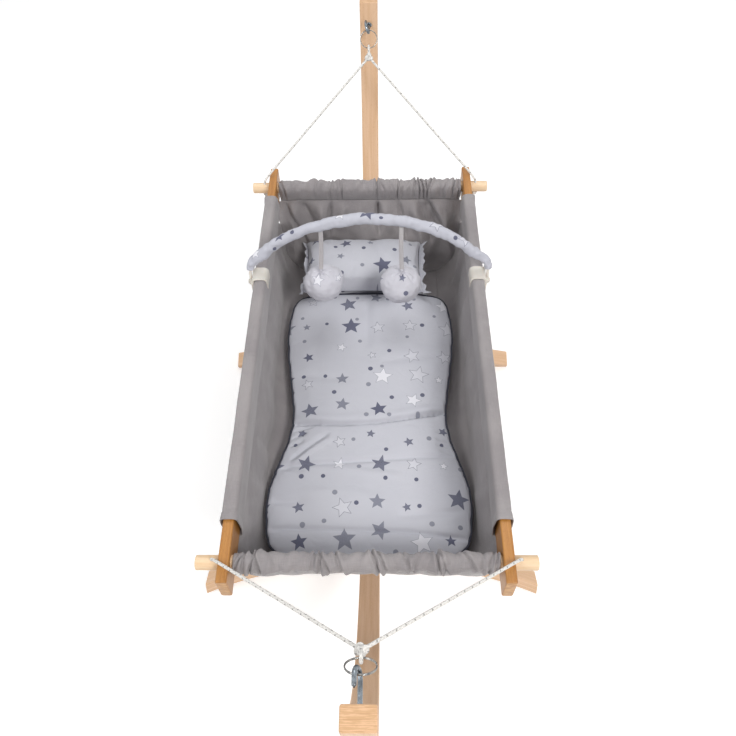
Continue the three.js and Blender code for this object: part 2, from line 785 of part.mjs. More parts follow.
function basketFloor() {
  const width = basketBottomWidth + 2 * clothThickness;
  const geometry = new THREE.BoxGeometry(width, basketBottomLength + 2 * clothThickness, clothThickness);
  geometry.translate(0, 0, basketFloorZ - clothThickness / 2);
  return geometry;
}

// Cloth gathered on a dowel: a ruffled tube with a stitched hem that hangs below it
function dowelSleeve(end) {
  const bore = dowelRadius + sleeveSlack;
  const outer = [];
  const inner = [];
  const lean = Math.atan2(hemInset, hemDepth);
  const turned = (x, radius, turn) => {
    const swing = turn * degrees - end * lean;
    return new THREE.Vector3(x, radius * Math.sin(swing), -radius * Math.cos(swing));
  };
  for (let row = 0; row <= gatherRows; row += 1) {
    const x = dowelSleeveLength * (row / gatherRows - 0.5);
    const ruffle = gatherDepth * gatherShares[row % gatherShares.length];
    const ring = gatherTurns.map((turn) => turned(x, dowelSleeveRadius + ruffle, turn));
    const low = [[-1, hemHalfDepth], [-1, hemDepth], [1, hemDepth], [1, hemHalfDepth]];
    const hem = low.map(([side, depth]) => {
      const turn = Math.atan2(hemHalfThickness, depth) / degrees;
      return turned(x, Math.hypot(hemHalfThickness, depth), side * turn);
    });
    outer.push([...ring, ...hem]);
    if (row === 0 || row === gatherRows) {
      inner.push([...gatherTurns, ...hemTurns].map((turn) => turned(x, bore, turn)));
    }
  }
  const geometry = sleeve(outer, inner);
  geometry.translate(0, (end * dowelSpacing) / 2, 0);
  return geometry;
}

function addBasket() {
  for (const [sideName, side] of [['left', -1], ['right', 1]]) {
    const tubeOfCloth = addPiece(basket, `rail_sleeve_${sideName}`, railSleeve(), greyCloth);
    tubeOfCloth.position.set(side * railCentreX, 0, railCentreZ);
    addPiece(basket, `side_panel_${sideName}`, sideWall(side), greyCloth);
  }
  for (const [endName, end] of [['head', 1], ['foot', -1]]) {
    addPiece(basket, `dowel_sleeve_${endName}`, dowelSleeve(end), greyCloth);
    addPiece(basket, `end_panel_${endName}`, endWall(end), greyCloth);
  }
  addPiece(basket, 'bottom_panel', basketFloor(), greyCloth);
}

// Mattress and pillow
// One ring round a cushion: a flat underside and a crown above it
function cushionRing(along, halfWidth, bottom, edge, top, shift, lengthwise) {
  const points = [];
  const across = 12;
  for (let i = 0; i <= across; i += 1) {
    const turn = (i / across) * 180 * degrees;
    const x = shift + halfWidth * Math.cos(turn);
    const crown = edge + (top - edge) * Math.sin(turn) ** crownPower;
    points.push(lengthwise ? new THREE.Vector3(x, along, crown) : new THREE.Vector3(along, x, crown));
  }
  for (const place of undersideShares) {
    const x = shift + halfWidth * place;
    points.push(lengthwise ? new THREE.Vector3(x, along, bottom) : new THREE.Vector3(along, x, bottom));
  }
  return points;
}

const mattressBottom = basketFloorZ + fitGap;
const mattressTop = mattressBottom + mattressThickness;

function swellAt(place, shares) {
  return Math.sqrt(Math.min(Math.min(place, 1 - place) / shares.reach + shares.start, 1));
}

function mattress() {
  const rings = mattressOutlineShares.map(([place, halfShare]) => {
    const along = (place - 0.5) * mattressLength;
    const swell = swellAt(place, mattressSwellShares);
    const nearest = Math.min(...mattressChannelShares.map((share) => Math.abs(place - share)));
    const channel = nearest < channelHalfShare ? mattressChannelDepth : 0;
    const edge = mattressBottom + mattressThickness * mattressEdgeShare;
    const top = edge + (mattressTop - edge) * swell - channel;
    return cushionRing(along, mattressHalfWidth * halfShare, mattressBottom, edge, top, 0, true);
  });
  return loft(rings);
}

function pillow() {
  const bottom = mattressTop + fitGap;
  const rings = pillowOutlineShares.map(([place, halfShare]) => {
    const along = pillowOffset + (place - 0.5) * pillowWidth;
    const edge = bottom + pillowThickness * pillowEdgeShare;
    const top = edge + (bottom + pillowThickness - edge) * swellAt(place, pillowSwellShares);
    return cushionRing(along, (pillowLength / 2) * halfShare, bottom, edge, top, pillowCentre, false);
  });
  return loft(rings);
}

function addBedding() {
  addPiece(basket, 'mattress', mattress(), printedCloth);
  addPiece(basket, 'pillow', pillow(), printedCloth);
}

// The toy bar: a rod bent into an arch, pinned at its eyes to the clips on the rails
function clip(side) {
  const inside = sleeveHalfWidth + fitGap;
  const top = sleeveHalfHeight + fitGap;
  const outline = new THREE.Shape();
  outline.moveTo(inside, top - clipOuterLeg);
  outline.lineTo(inside + clipPlateWall, top - clipOuterLeg);
  outline.lineTo(inside + clipPlateWall, top + clipWall - clipCorner);
  outline.lineTo(inside + clipPlateWall - clipCorner, top + clipWall);
  outline.lineTo(-inside - clipWall + clipCorner, top + clipWall);
  outline.lineTo(-inside - clipWall, top + clipWall - clipCorner);
  outline.lineTo(-inside - clipWall, top - clipInnerLeg);
  outline.lineTo(-inside, top - clipInnerLeg);
  outline.lineTo(-inside, top);
  outline.lineTo(inside, top);
  const body = alongY(outline, clipLength);
  if (side < 0) body.rotateZ(180 * degrees);
  body.translate(side * railCentreX, clipCentre, railCentreZ);
  const hole = new THREE.CylinderGeometry(pinHoleRadius, pinHoleRadius, 2 * cutOverrun, 12);
  hole.rotateZ(90 * degrees);
  hole.translate(side * (sleeveOuterX + fitGap + clipPlateWall / 2), clipCentre, pivotZ);
  return cut(body, [hole]);
}

function barPoint(across, up) {
  return new THREE.Vector3(across, clipCentre + up * Math.sin(barLean), pivotZ + up * Math.cos(barLean));
}

function barCurve() {
  const half = barCurveShares.map(([x, up]) => barPoint(x * eyeCentreX, up * barRise));
  const other = half.map((point) => new THREE.Vector3(-point.x, point.y, point.z)).reverse();
  return new THREE.CatmullRomCurve3([...half, barPoint(0, barRise), ...other]);
}

function barRod() {
  const eyes = [];
  const holes = [];
  for (const side of [-1, 1]) {
    const eye = new THREE.CylinderGeometry(eyeRadius, eyeRadius, eyeThickness, 16);
    const hole = new THREE.CylinderGeometry(pinHoleRadius, pinHoleRadius, eyeThickness + 2 * cutOverrun, 12);
    for (const geometry of [eye, hole]) {
      geometry.rotateZ(90 * degrees);
      geometry.translate(side * eyeCentreX, clipCentre, pivotZ);
    }
    eyes.push(eye);
    holes.push(hole);
  }
  return cut(join([tube(barCurve(), barRodRadius, 8, 32), ...eyes]), holes);
}

// Rings of a padded sleeve round the stretch of the rod above the clips
function barSleeve() {
  const curve = barCurve();
  const length = curve.getLength();
  const rows = 36;
  const sides = 9;
  const outer = [];
  const inner = [];
  const planeNormal = new THREE.Vector3(0, Math.cos(barLean), -Math.sin(barLean));
  for (let row = 0; row <= rows; row += 1) {
    const along = barSleeveStart + ((length - 2 * barSleeveStart) * row) / rows;
    const centre = curve.getPointAt(along / length);
    const tangent = curve.getTangentAt(along / length);
    const outwardWay = new THREE.Vector3().crossVectors(planeNormal, tangent).normalize();
    const fromEnd = Math.min(row, rows - row);
    const crease = barSleeveCrease * gatherShares[row % gatherShares.length];
    const taper = Math.max(barTaperRows - fromEnd, 0) * barSleeveCrease;
    const radius = barSleeveRadius - crease - taper;
    const ringAt = (size) => Array.from({ length: sides }, (_, i) => {
      const turn = (i / sides) * 360 * degrees;
      return centre.clone()
        .addScaledVector(outwardWay, size * Math.cos(turn))
        .addScaledVector(planeNormal, size * Math.sin(turn));
    });
    outer.push(ringAt(radius));
    inner.push(ringAt(barSleeveBore));
  }
  return sleeve(outer, inner);
}

function clipPin(side) {
  const start = sleeveOuterX + 2 * fitGap;
  const shank = eyeCentreX + eyeThickness / 2 + fitGap - start;
  const profile = [
    [0, 0], [pinRadius, 0], [pinRadius, shank], [pinHeadRadius, shank],
    [pinHeadRadius, shank + pinHeadHeight], [0, shank + pinHeadHeight],
  ];
  const geometry = new THREE.LatheGeometry(profile.map(([x, y]) => new THREE.Vector2(x, y)), 12);
  geometry.rotateZ(-90 * degrees);
  geometry.translate(start, 0, 0);
  if (side < 0) geometry.rotateZ(180 * degrees);
  geometry.translate(0, clipCentre, pivotZ);
  return geometry;
}

// The bar's point above a place across, and how far the sleeve reaches below that point
function barOver(across) {
  const curve = barCurve();
  let place = 0;
  for (let i = 0; i <= barSearchSteps; i += 1) {
    const miss = Math.abs(curve.getPoint(i / barSearchSteps).x - across);
    if (miss < Math.abs(curve.getPoint(place).x - across)) place = i / barSearchSteps;
  }
  const point = curve.getPoint(place);
  const tangent = curve.getTangent(place);
  const level = Math.hypot(tangent.x, tangent.y);
  const reach = barSleeveRadius / level + (ribbonWidth / 2) * Math.abs(tangent.z / tangent.x);
  return { point, reach };
}

function toyRibbon(across, length) {
  const { point, reach } = barOver(across);
  const ribbon = new THREE.BoxGeometry(ribbonWidth, ribbonThickness, length);
  ribbon.translate(across, point.y, point.z - reach - fitGap - length / 2);
  return ribbon;
}

// A stuffed ball, gathered to a small tuft under its ribbon
function toyBall(across, ribbonLength) {
  const { point, reach } = barOver(across);
  const profile = ballProfileShares.map(([out, up]) => new THREE.Vector2(out * ballRadius, up * ballRadius));
  const ball = new THREE.LatheGeometry(profile, 18);
  ball.rotateX(90 * degrees);
  const top = point.z - reach - ribbonLength - 2 * fitGap;
  ball.translate(across, point.y, top - ballProfileShares[ballProfileShares.length - 1][1] * ballRadius);
  return ball;
}

function addToyBar() {
  const toys = [['left', -1, toyLeftOffset, ribbonLeftLength], ['right', 1, toyRightOffset, ribbonRightLength]];
  for (const [sideName, side, across, length] of toys) {
    addPiece(basket, `bar_clip_${sideName}`, clip(side), ivoryPlastic);
    addPiece(basket, `clip_pin_${sideName}`, clipPin(side), ivoryPlastic);
    addPiece(basket, `toy_ribbon_${sideName}`, toyRibbon(across, length), ribbonCloth);
    addPiece(basket, `toy_ball_${sideName}`, toyBall(across, length), ballCloth);
  }
  addPiece(basket, 'toy_bar_rod', barRod(), ivoryPlastic);
  addPiece(basket, 'toy_bar_sleeve', barSleeve(), printedCloth);
}

addStand();
addHangers();
addFrame();
addBasket();
addBedding();
addToyBar();

export default cradle;
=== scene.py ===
import math

import bmesh
import bpy
from mathutils import Matrix, Vector, noise
from mathutils.bvhtree import BVHTree


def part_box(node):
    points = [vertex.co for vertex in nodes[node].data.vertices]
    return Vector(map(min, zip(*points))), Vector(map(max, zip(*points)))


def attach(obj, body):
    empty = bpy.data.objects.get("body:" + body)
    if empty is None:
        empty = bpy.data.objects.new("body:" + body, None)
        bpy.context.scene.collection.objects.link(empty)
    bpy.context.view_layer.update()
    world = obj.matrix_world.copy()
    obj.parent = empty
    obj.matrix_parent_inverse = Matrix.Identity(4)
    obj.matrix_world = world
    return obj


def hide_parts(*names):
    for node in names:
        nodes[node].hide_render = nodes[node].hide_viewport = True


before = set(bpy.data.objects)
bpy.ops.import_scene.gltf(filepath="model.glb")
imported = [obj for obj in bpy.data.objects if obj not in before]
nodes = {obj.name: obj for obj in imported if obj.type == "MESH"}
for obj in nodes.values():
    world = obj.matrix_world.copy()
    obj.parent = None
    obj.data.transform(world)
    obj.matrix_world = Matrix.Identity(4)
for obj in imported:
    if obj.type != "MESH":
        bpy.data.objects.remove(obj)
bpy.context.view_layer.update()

mm = 0.001
ends = (("head", 1), ("foot", -1))
sides = (("left", -1), ("right", 1))

# Sizes of the stand
beam_inner = 713 * mm
beam_thick = 28 * mm
beam_width = 40 * mm
beam_half_angle = math.radians(89)
beam_outer = beam_inner + beam_thick
beam_middle = beam_inner + beam_thick / 2
lap_angle = 45 * mm / beam_middle
foot_splay = math.radians(21.4)
foot_top = 770 * mm
foot_thick = 27 * mm
foot_width = 40 * mm
foot_half = 366 * mm
fit_gap = 0.3 * mm
foot_crown = beam_outer + fit_gap
foot_under = foot_top - foot_thick
foot_reach = foot_crown + foot_top - math.sqrt(foot_under ** 2 - foot_half ** 2)
beam_centre = foot_reach * math.cos(foot_splay) - 8.1 * mm

# Sizes of the hooks, rings and cords
hook_drop = 61 * mm
hook_height = beam_centre - hook_drop
hook_face = math.sqrt(beam_inner ** 2 - hook_drop ** 2)
hook_bend_y = hook_face - 32 * mm
hook_bend_radius = 10 * mm
hook_bend_z = hook_height + hook_bend_radius
ring_radius = 18.5 * mm
ring_seat = 5 * mm
ring_wire = 0.95 * mm
hook_twist = math.radians(18)
hang_run = 228.4 * mm
dowel_y = hook_bend_y - hang_run
dowel_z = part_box("dowel_head")[0].z + 12 * mm
pull = Vector((0, -hang_run, dowel_z - hook_bend_z)).normalized()
cord_x = 243 * mm
cord_radius = 2.5 * mm
knot_distance = 61 * mm

# Sizes of the frame and the cloth basket
dowel_radius = 12 * mm
dowel_half = 270 * mm
cord_hole_radius = 3.4 * mm
gathered_half = 209 * mm
rail_x = 222 * mm
rail_z = dowel_z - 6 * mm
rail_half_thick = 9 * mm
rail_half_height = 30 * mm
rail_half_length = dowel_y + 41 * mm
sleeve_half = dowel_y - 61 * mm
sleeve_half_thick = 12.2 * mm
sleeve_half_height = 33.2 * mm
basket_floor = dowel_z - 207 * mm
floor_half_width = 204 * mm
floor_half_length = dowel_y - 52 * mm
wall_top = rail_z - sleeve_half_height - fit_gap
wall_bottom = basket_floor + fit_gap
end_wall_top = dowel_z - 32 * mm - fit_gap
panel_thick = 1.6 * mm
mattress_thick = 54 * mm
mattress_half_width = 200 * mm
mattress_top = basket_floor + fit_gap + mattress_thick

# The camera stands at the foot end, high up, and looks down into the basket
camera_lens = 35.07
camera_place = Vector((24.80, -869.49, 1584.61)) * mm
camera_pitch = 0.9394
camera_yaw = 0.0313
camera_roll = -0.0294


def add_camera():
    ahead = Vector((0, math.cos(camera_pitch), -math.sin(camera_pitch)))
    above = Vector((0, math.sin(camera_pitch), math.cos(camera_pitch)))
    turn = Matrix.Rotation(camera_yaw, 3, "Z")
    ahead = turn @ ahead
    above = turn @ above
    across = turn @ Vector((1, 0, 0))
    tilt_across = math.cos(camera_roll) * across + math.sin(camera_roll) * above
    tilt_above = math.cos(camera_roll) * above - math.sin(camera_roll) * across
    matrix = Matrix((tilt_across, tilt_above, -ahead)).transposed().to_4x4()
    matrix.translation = camera_place
    data = bpy.data.cameras.new("camera")
    data.lens = camera_lens
    data.sensor_width = 36
    data.clip_start = 0.05
    camera = bpy.data.objects.new("camera", data)
    camera.matrix_world = matrix
    bpy.context.scene.collection.objects.link(camera)
    bpy.context.scene.camera = camera


add_camera()


# Numbers, paths and meshes
def spread(first, last, steps):
    """Evenly spaced values from the first to the last."""
    return [first + (last - first) * i / steps for i in range(steps + 1)]


def turns(count):
    """Evenly spaced angles round a circle."""
    return [i * math.tau / count for i in range(count)]


def clamped(value, low=0, high=1):
    return min(max(value, low), high)


def eased(share):
    """A share from 0 to 1 with a soft start and end."""
    return share * share * (3 - 2 * share)


def bell(off, width):
    """One at the middle, falling softly to zero on both sides."""
    return math.exp(-(off / width) ** 2)


def smooth_path(points, steps):
    """Points on a smooth curve through the given points, steps of them between each two."""
    points = [Vector(point) for point in points]
    line = [points[0] * 2 - points[1], *points, points[-1] * 2 - points[-2]]
    path = []
    for i in range(1, len(line) - 2):
        before, start, end, after = line[i - 1:i + 3]
        for t in spread(0, 1, steps)[:-1]:
            path.append(0.5 * (
                2 * start + (end - before) * t
                + (2 * before - 5 * start + 4 * end - after) * t ** 2
                + (3 * start - before - 3 * end + after) * t ** 3))
    path.append(points[-1])
    return path


def path_frames(path, first_side):
    """Each point of a path with a side and an upright, carried along without twisting."""
    frames = []
    side = Vector(first_side)
    for i, point in enumerate(path):
        ahead = path[min(i + 1, len(path) - 1)] - path[max(i - 1, 0)]
        ahead.normalize()
        side = (side - ahead * side.dot(ahead)).normalized()
        frames.append((point, side, ahead.cross(side)))
    return frames


def new_piece(name, points, faces, maps=None):
    mesh = bpy.data.meshes.new(name)
    mesh.from_pydata([tuple(point) for point in points], [], faces)
    if maps:
        layer = mesh.uv_layers.new(name="cloth")
        for polygon, corners in zip(mesh.polygons, maps):
            for loop, place in zip(polygon.loop_indices, corners):
                layer.data[loop].uv = place
    for polygon in mesh.polygons:
        polygon.use_smooth = True
    mesh.update()
    piece = bpy.data.objects.new(name, mesh)
    bpy.context.scene.collection.objects.link(piece)
    return piece


def row_distances(rows, around):
    """How far each row and each column lies from the first, in metres."""
    across = [0.0]
    middle = rows[len(rows) // 2]
    for i in range(1, len(middle) + around):
        across.append(across[-1] + (middle[i % len(middle)] - middle[i - 1]).length)
    along = [0.0]
    column = len(middle) // 3
    for a, b in zip(rows, rows[1:]):
        along.append(along[-1] + (b[column] - a[column]).length)
    return along, across


def grid_piece(name, rows, around=False, caps=False, flip=False):
    """A surface through rows of equally many points, with a map in metres."""
    size = len(rows[0])
    along, across = row_distances(rows, around)
    points = [point for row in rows for point in row]
    faces = []
    maps = []
    for row in range(len(rows) - 1):
        for i in range(size if around else size - 1):
            n = (i + 1) % size
            face = [row * size + i, row * size + n, (row + 1) * size + n, (row + 1) * size + i]
            corners = [(along[row], across[i]), (along[row], across[i + 1]),
                       (along[row + 1], across[i + 1]), (along[row + 1], across[i])]
            if flip:
                face.reverse()
                corners.reverse()
            faces.append(face)
            maps.append(corners)
    if caps:
        for row, turned in ((0, not flip), (len(rows) - 1, flip)):
            middle = len(points)
            points.append(sum(rows[row], Vector()) / size)
            for i in range(size):
                n = (i + 1) % size
                face = [row * size + i, row * size + n, middle]
                if turned:
                    face.reverse()
                faces.append(face)
                maps.append([(along[row], 0.0)] * 3)
    return new_piece(name, points, faces, maps)


def tube_piece(name, path, radius, corners, first_side=(1, 0, 0), caps=True):
    """A round tube along a path. The radius is a length, or a function of the share along it."""
    rows = []
    last = len(path) - 1
    for i, (point, side, upright) in enumerate(path_frames(path, first_side)):
        size = radius(i / last) if callable(radius) else radius
        rows.append([
            point + size * (math.cos(turn) * side + math.sin(turn) * upright)
            for turn in turns(corners)])
    return grid_piece(name, rows, around=True, caps=caps, flip=True)


def joined(name, pieces):
    """One piece from several."""
    made = bmesh.new()
    made.loops.layers.uv.new("cloth")
    for piece in pieces:
        made.from_mesh(piece.data)
        bpy.data.objects.remove(piece)
    mesh = bpy.data.meshes.new(name)
    made.to_mesh(mesh)
    made.free()
    whole = bpy.data.objects.new(name, mesh)
    bpy.context.scene.collection.objects.link(whole)
    return whole


def rounded_section(half_width, half_height, corner, steps=4):
    """Points round a rectangle with rounded corners, from the right side counterclockwise."""
    points = []
    for sx, sy, first in ((1, 1, 0), (-1, 1, 90), (-1, -1, 180), (1, -1, 270)):
        for degrees in spread(first, first + 90, steps):
            turn = math.radians(degrees)
            points.append((
                sx * (half_width - corner) + corner * math.cos(turn),
                sy * (half_height - corner) + corner * math.sin(turn)))
    return points


def flat_faces(piece, weight=80, keep_sharp=True):
    """Keeps flat faces flat between softened edges."""
    modifier = piece.modifiers.new("flat_faces", "WEIGHTED_NORMAL")
    modifier.keep_sharp = keep_sharp
    modifier.weight = weight


def thicken(piece, thickness, offset=-1):
    modifier = piece.modifiers.new("thickness", "SOLIDIFY")
    modifier.thickness = thickness
    modifier.offset = offset
    modifier.use_rim = True


def soften_edges(piece, width, angle):
    """Rounds the edges that turn by more than an angle in degrees."""
    modifier = piece.modifiers.new("softened_edges", "BEVEL")
    modifier.width = width
    modifier.segments = 2
    modifier.limit_method = "ANGLE"
    modifier.angle_limit = math.radians(angle)
    modifier.harden_normals = False


def applied(piece):
    """Keeps what the modifiers of a piece make of its mesh."""
    graph = bpy.context.evaluated_depsgraph_get()
    mesh = bpy.data.meshes.new_from_object(piece.evaluated_get(graph))
    piece.modifiers.clear()
    piece.data = mesh
    return mesh


def drill(piece, cutters):
    """Cuts holes through a piece."""
    for cutter in cutters:
        modifier = piece.modifiers.new("hole", "BOOLEAN")
        modifier.operation = "DIFFERENCE"
        modifier.object = cutter
        modifier.solver = "EXACT"
    applied(piece)
    for cutter in cutters:
        bpy.data.objects.remove(cutter)


def place_piece(piece, body, material, slot, *stands_for):
    """Gives a piece its material and its body, and hides the nodes that it stands for."""
    piece.data.materials.clear()
    piece.data.materials.append(material)
    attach(piece, body)
    if stands_for:
        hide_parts(*stands_for)


def flat_size(rows, around):
    """The cut size of a cloth from its rows of points."""
    along, across = row_distances(rows, around)
    return across[-1], along[-1]


def wobble(x, y, z):
    """A smooth random value between -1 and 1 for each place."""
    return noise.noise(Vector((x, y, z)))


def uneven(point, size, seed):
    return wobble(point.x / size + seed, point.y / size - seed, point.z / size + 2 * seed)


def crumple(point, size, strength, seed=0.0):
    """Soft uneven wrinkles over a surface, as a length."""
    return strength * uneven(point, size, seed)


def drape(point, size, strength, seed):
    """Long folds with sharp valleys between soft crowns, as a length."""
    return strength * (0.5 - abs(uneven(point, size, seed)) * 1.8)


def folds_at(across, along, folds, widen=1.0):
    """The height of soft folds at a place. A fold has two ends, a width and a height, in millimetres."""
    total = 0.0
    for first_across, first_along, last_across, last_along, width, height in folds:
        width *= widen * mm
        run_across = (last_across - first_across) * mm
        run_along = (last_along - first_along) * mm
        length = math.hypot(run_across, run_along)
        away_across = across - first_across * mm
        away_along = along - first_along * mm
        past = (away_across * run_across + away_along * run_along) / length
        off = (away_across * run_along - away_along * run_across) / length
        within = min(past, length - past) + 2 * width
        if within > 0 and abs(off) < 3 * width:
            total += height * mm * bell(off, width) * eased(min(within / (4 * width), 1))
    return total


# Materials
def colour(code):
    """A colour from its screen code."""
    parts = [int(code[i:i + 2], 16) / 255 for i in (0, 2, 4)]
    linear = [part / 12.92 if part <= 0.04045 else ((part + 0.055) / 1.055) ** 2.4 for part in parts]
    return (*linear, 1.0)


class Signal:
    """An output of a node. Sums, products and comparisons on it add nodes of their own."""

    def __init__(self, wiring, socket):
        self.wiring = wiring
        self.socket = socket

    def __add__(self, other):
        return self.wiring.math("ADD", self, other)

    def __sub__(self, other):
        return self.wiring.math("SUBTRACT", self, other)

    def __mul__(self, other):
        return self.wiring.math("MULTIPLY", self, other)

    def __truediv__(self, other):
        return self.wiring.math("DIVIDE", self, other)

    def __lt__(self, other):
        return self.wiring.math("LESS_THAN", self, other)

    def __gt__(self, other):
        return self.wiring.math("GREATER_THAN", self, other)


class Wiring:
    """Adds nodes to one tree and links them."""

    def __init__(self, tree):
        self.tree = tree

    def feed(self, sockets, values):
        for name, value in values.items():
            if isinstance(value, Signal):
                self.tree.links.new(value.socket, sockets[name])
            else:
                sockets[name].default_value = value

    def node(self, kind, inputs=None, **settings):
        made = self.tree.nodes.new(kind)
        for name, value in settings.items():
            setattr(made, name, value)
        self.feed(made.inputs, inputs or {})
        return made

    def read(self, output, kind, inputs=None, **settings):
        """One output of a new node."""
        return Signal(self, self.node(kind, inputs, **settings).outputs[output])

    def outputs(self, made):
        """All outputs of a node by name."""
        return {socket.name: Signal(self, socket) for socket in made.outputs}

    def math(self, operation, *values, clamp=False):
        return self.read(
            0, "ShaderNodeMath", dict(enumerate(values)), operation=operation, use_clamp=clamp)

    def vector(self, operation, *values):
        output = "Value" if operation in ("DOT_PRODUCT", "LENGTH") else "Vector"
        return self.read(output, "ShaderNodeVectorMath", dict(enumerate(values)), operation=operation)

    def scaled(self, value, factor):
        return self.read("Vector", "ShaderNodeVectorMath", {0: value, "Scale": factor}, operation="SCALE")

    def combine(self, x, y, z):
        return self.read(0, "ShaderNodeCombineXYZ", {"X": x, "Y": y, "Z": z})

    def parts(self, kind, input_name, value):
        """The three parts of a vector or a colour."""
        return list(self.outputs(self.node(kind, {input_name: value})).values())

    def separate(self, value):
        return self.parts("ShaderNodeSeparateXYZ", "Vector", value)

    def between(self, value, low, high, start=0.0, end=1.0):
        """Turns a value from low to high smoothly into one from start to end."""
        return self.read("Result", "ShaderNodeMapRange", {
            "Value": value, "From Min": low, "From Max": high, "To Min": start, "To Max": end},
            interpolation_type="SMOOTHSTEP")

    def mix(self, factor, first, second):
        return self.read(2, "ShaderNodeMix", {0: factor, 6: first, 7: second}, data_type="RGBA")

    def speckle(self, place, scale, detail=2.0, roughness=0.5, distortion=0.0):
        return self.read("Fac", "ShaderNodeTexNoise", {
            "Vector": place, "Scale": scale, "Detail": detail, "Roughness": roughness,
            "Distortion": distortion})

    def bump(self, height, distance, strength=1.0):
        return self.read("Normal", "ShaderNodeBump", {
            "Height": height, "Distance": distance, "Strength": strength})

    def place(self):
        """Places on the piece itself, which go along when it moves."""
        return self.read("Object", "ShaderNodeTexCoord")

    def group(self, tree, inputs):
        return self.outputs(self.node("ShaderNodeGroup", inputs, node_tree=tree))


def new_group(name, values, gives, vectors=(), colours=()):
    """A node group with named values, vectors and colours, and the names of what it gives."""
    tree = bpy.data.node_groups.new(name, "ShaderNodeTree")
    sockets = [(label, "INPUT", "Float") for label in values]
    sockets += [(label, "INPUT", "Vector") for label in vectors]
    sockets += [(label, "INPUT", "Color") for label in colours]
    sockets += [(label, "OUTPUT", "Color" if label == "Color" else "Float") for label in gives]
    for label, way, kind in sockets:
        tree.interface.new_socket(label, in_out=way, socket_type="NodeSocket" + kind)
    w = Wiring(tree)
    return tree, w, w.outputs(w.node("NodeGroupInput")), w.node("NodeGroupOutput").inputs


def bent_wood_places():
    """Places along, across and through a bent bar, from its centre and its two upright axes."""
    tree, w, given, out = new_group(
        "bent_wood_places", ("Radius",), ("Along", "Across", "Layer", "End"),
        vectors=("Centre", "Across", "First", "Second"))
    facing = w.read("Normal", "ShaderNodeTexCoord")
    off = w.vector("SUBTRACT", w.place(), given["Centre"])
    first, second = [w.vector("DOT_PRODUCT", off, given[name]) for name in ("First", "Second")]
    facing_first, facing_second = [
        w.vector("DOT_PRODUCT", facing, given[name]) for name in ("First", "Second")]
    layer = w.math("SQRT", first * first + second * second)
    ahead = facing_first * second - facing_second * first
    w.feed(out, {
        "Along": w.math("ARCTAN2", first, second) * given["Radius"],
        "Across": w.vector("DOT_PRODUCT", off, given["Across"]), "Layer": layer,
        "End": w.between(w.math("ABSOLUTE", ahead / layer), 0.7, 0.82)})
    return tree


def wood_figure():
    """The grain, flecks and glued layers of wood."""
    tree, w, given, out = new_group(
        "wood_figure", ("Along", "Across", "Layer", "End", "Flecks", "Layer Height", "Layer Lines"),
        ("Color", "Roughness", "Height"), colours=("Light", "Dark", "Fleck", "End Light"))
    along, across, layer = given["Along"], given["Across"], given["Layer"]

    def stretched(along_scale, across_scale):
        """Places that are drawn out along the grain."""
        return w.combine(along * along_scale, across * across_scale, layer * across_scale)

    wander = w.speckle(w.combine(along * 3.0, across, layer), 2.2)
    shift = (wander - 0.5) * 0.012
    bands = w.combine(along * 5.0, (across + shift) * 150.0, (layer + shift) * 150.0)
    streak = w.speckle(bands, 1.0, 5.0, 0.62)
    hair = w.speckle(stretched(26.0, 900.0), 1.0, 3.0, 0.6)
    fleck = w.between(w.speckle(stretched(190.0, 1300.0), 1.0, 1.0), 0.62, 0.7) * given["Flecks"]
    count = layer / given["Layer Height"]
    within = w.math("FRACT", count + shift * 22.0)
    line = w.between(w.math("ABSOLUTE", within - 0.5), 0.455, 0.49) * given["Layer Lines"]
    sheet = w.read(
        "Value", "ShaderNodeTexWhiteNoise", {"W": w.math("FLOOR", count)}, noise_dimensions="1D")
    sheet_shift = (sheet - 0.5) * given["Layer Lines"]
    shade = w.between(streak, 0.3, 0.72) + (hair - 0.5) * 0.5
    shade = w.math("ADD", shade, sheet_shift * 0.5, clamp=True)
    body = w.mix(shade, given["Light"], given["Dark"])
    body = w.mix(fleck, body, given["Fleck"])
    body = w.mix(line, body, given["Fleck"])
    pores = w.speckle(w.combine(across * 0.12, layer, along), 700.0, 3.0)
    end_tone = w.mix(w.between(pores, 0.38, 0.6, 0.0, 0.8), given["Dark"], given["End Light"])
    end_tone = w.mix(line, end_tone, given["Fleck"])
    w.feed(out, {
        "Color": w.mix(given["End"], body, end_tone), "Roughness": hair * 0.22 + 0.42,
        "Height": hair * 0.5 - line * 0.5 - fleck * 0.3})
    return tree


def cloth_weave():
    """Plain weave threads with uneven slubs, from a map in metres."""
    tree, w, given, out = new_group("cloth_weave", ("Thread",), ("Threads", "Slub"), vectors=("Place",))
    x, y, z = w.separate(given["Place"])
    turns = w.math("DIVIDE", math.tau, given["Thread"])
    slubs = w.speckle(w.combine(x * 60.0, y * 900.0, z), 1.0)
    slubs += w.speckle(w.combine(x * 900.0, y * 60.0, z), 1.0)
    w.feed(out, {"Threads": w.math("SINE", x * turns) * w.math("SINE", y * turns), "Slub": slubs * 0.5})
    return tree


def cloth_creases():
    """Soft creases and worn tone over a cloth."""
    tree, w, given, out = new_group("cloth_creases", ("Size",), ("Crease", "Tone"))
    scale = w.math("DIVIDE", 1.0, given["Size"])
    w.feed(out, {
        "Crease": w.speckle(w.place(), scale, 3.0, 0.55, 1.2),
        "Tone": w.speckle(w.place(), 9.0, 3.0, 0.6)})
    return tree


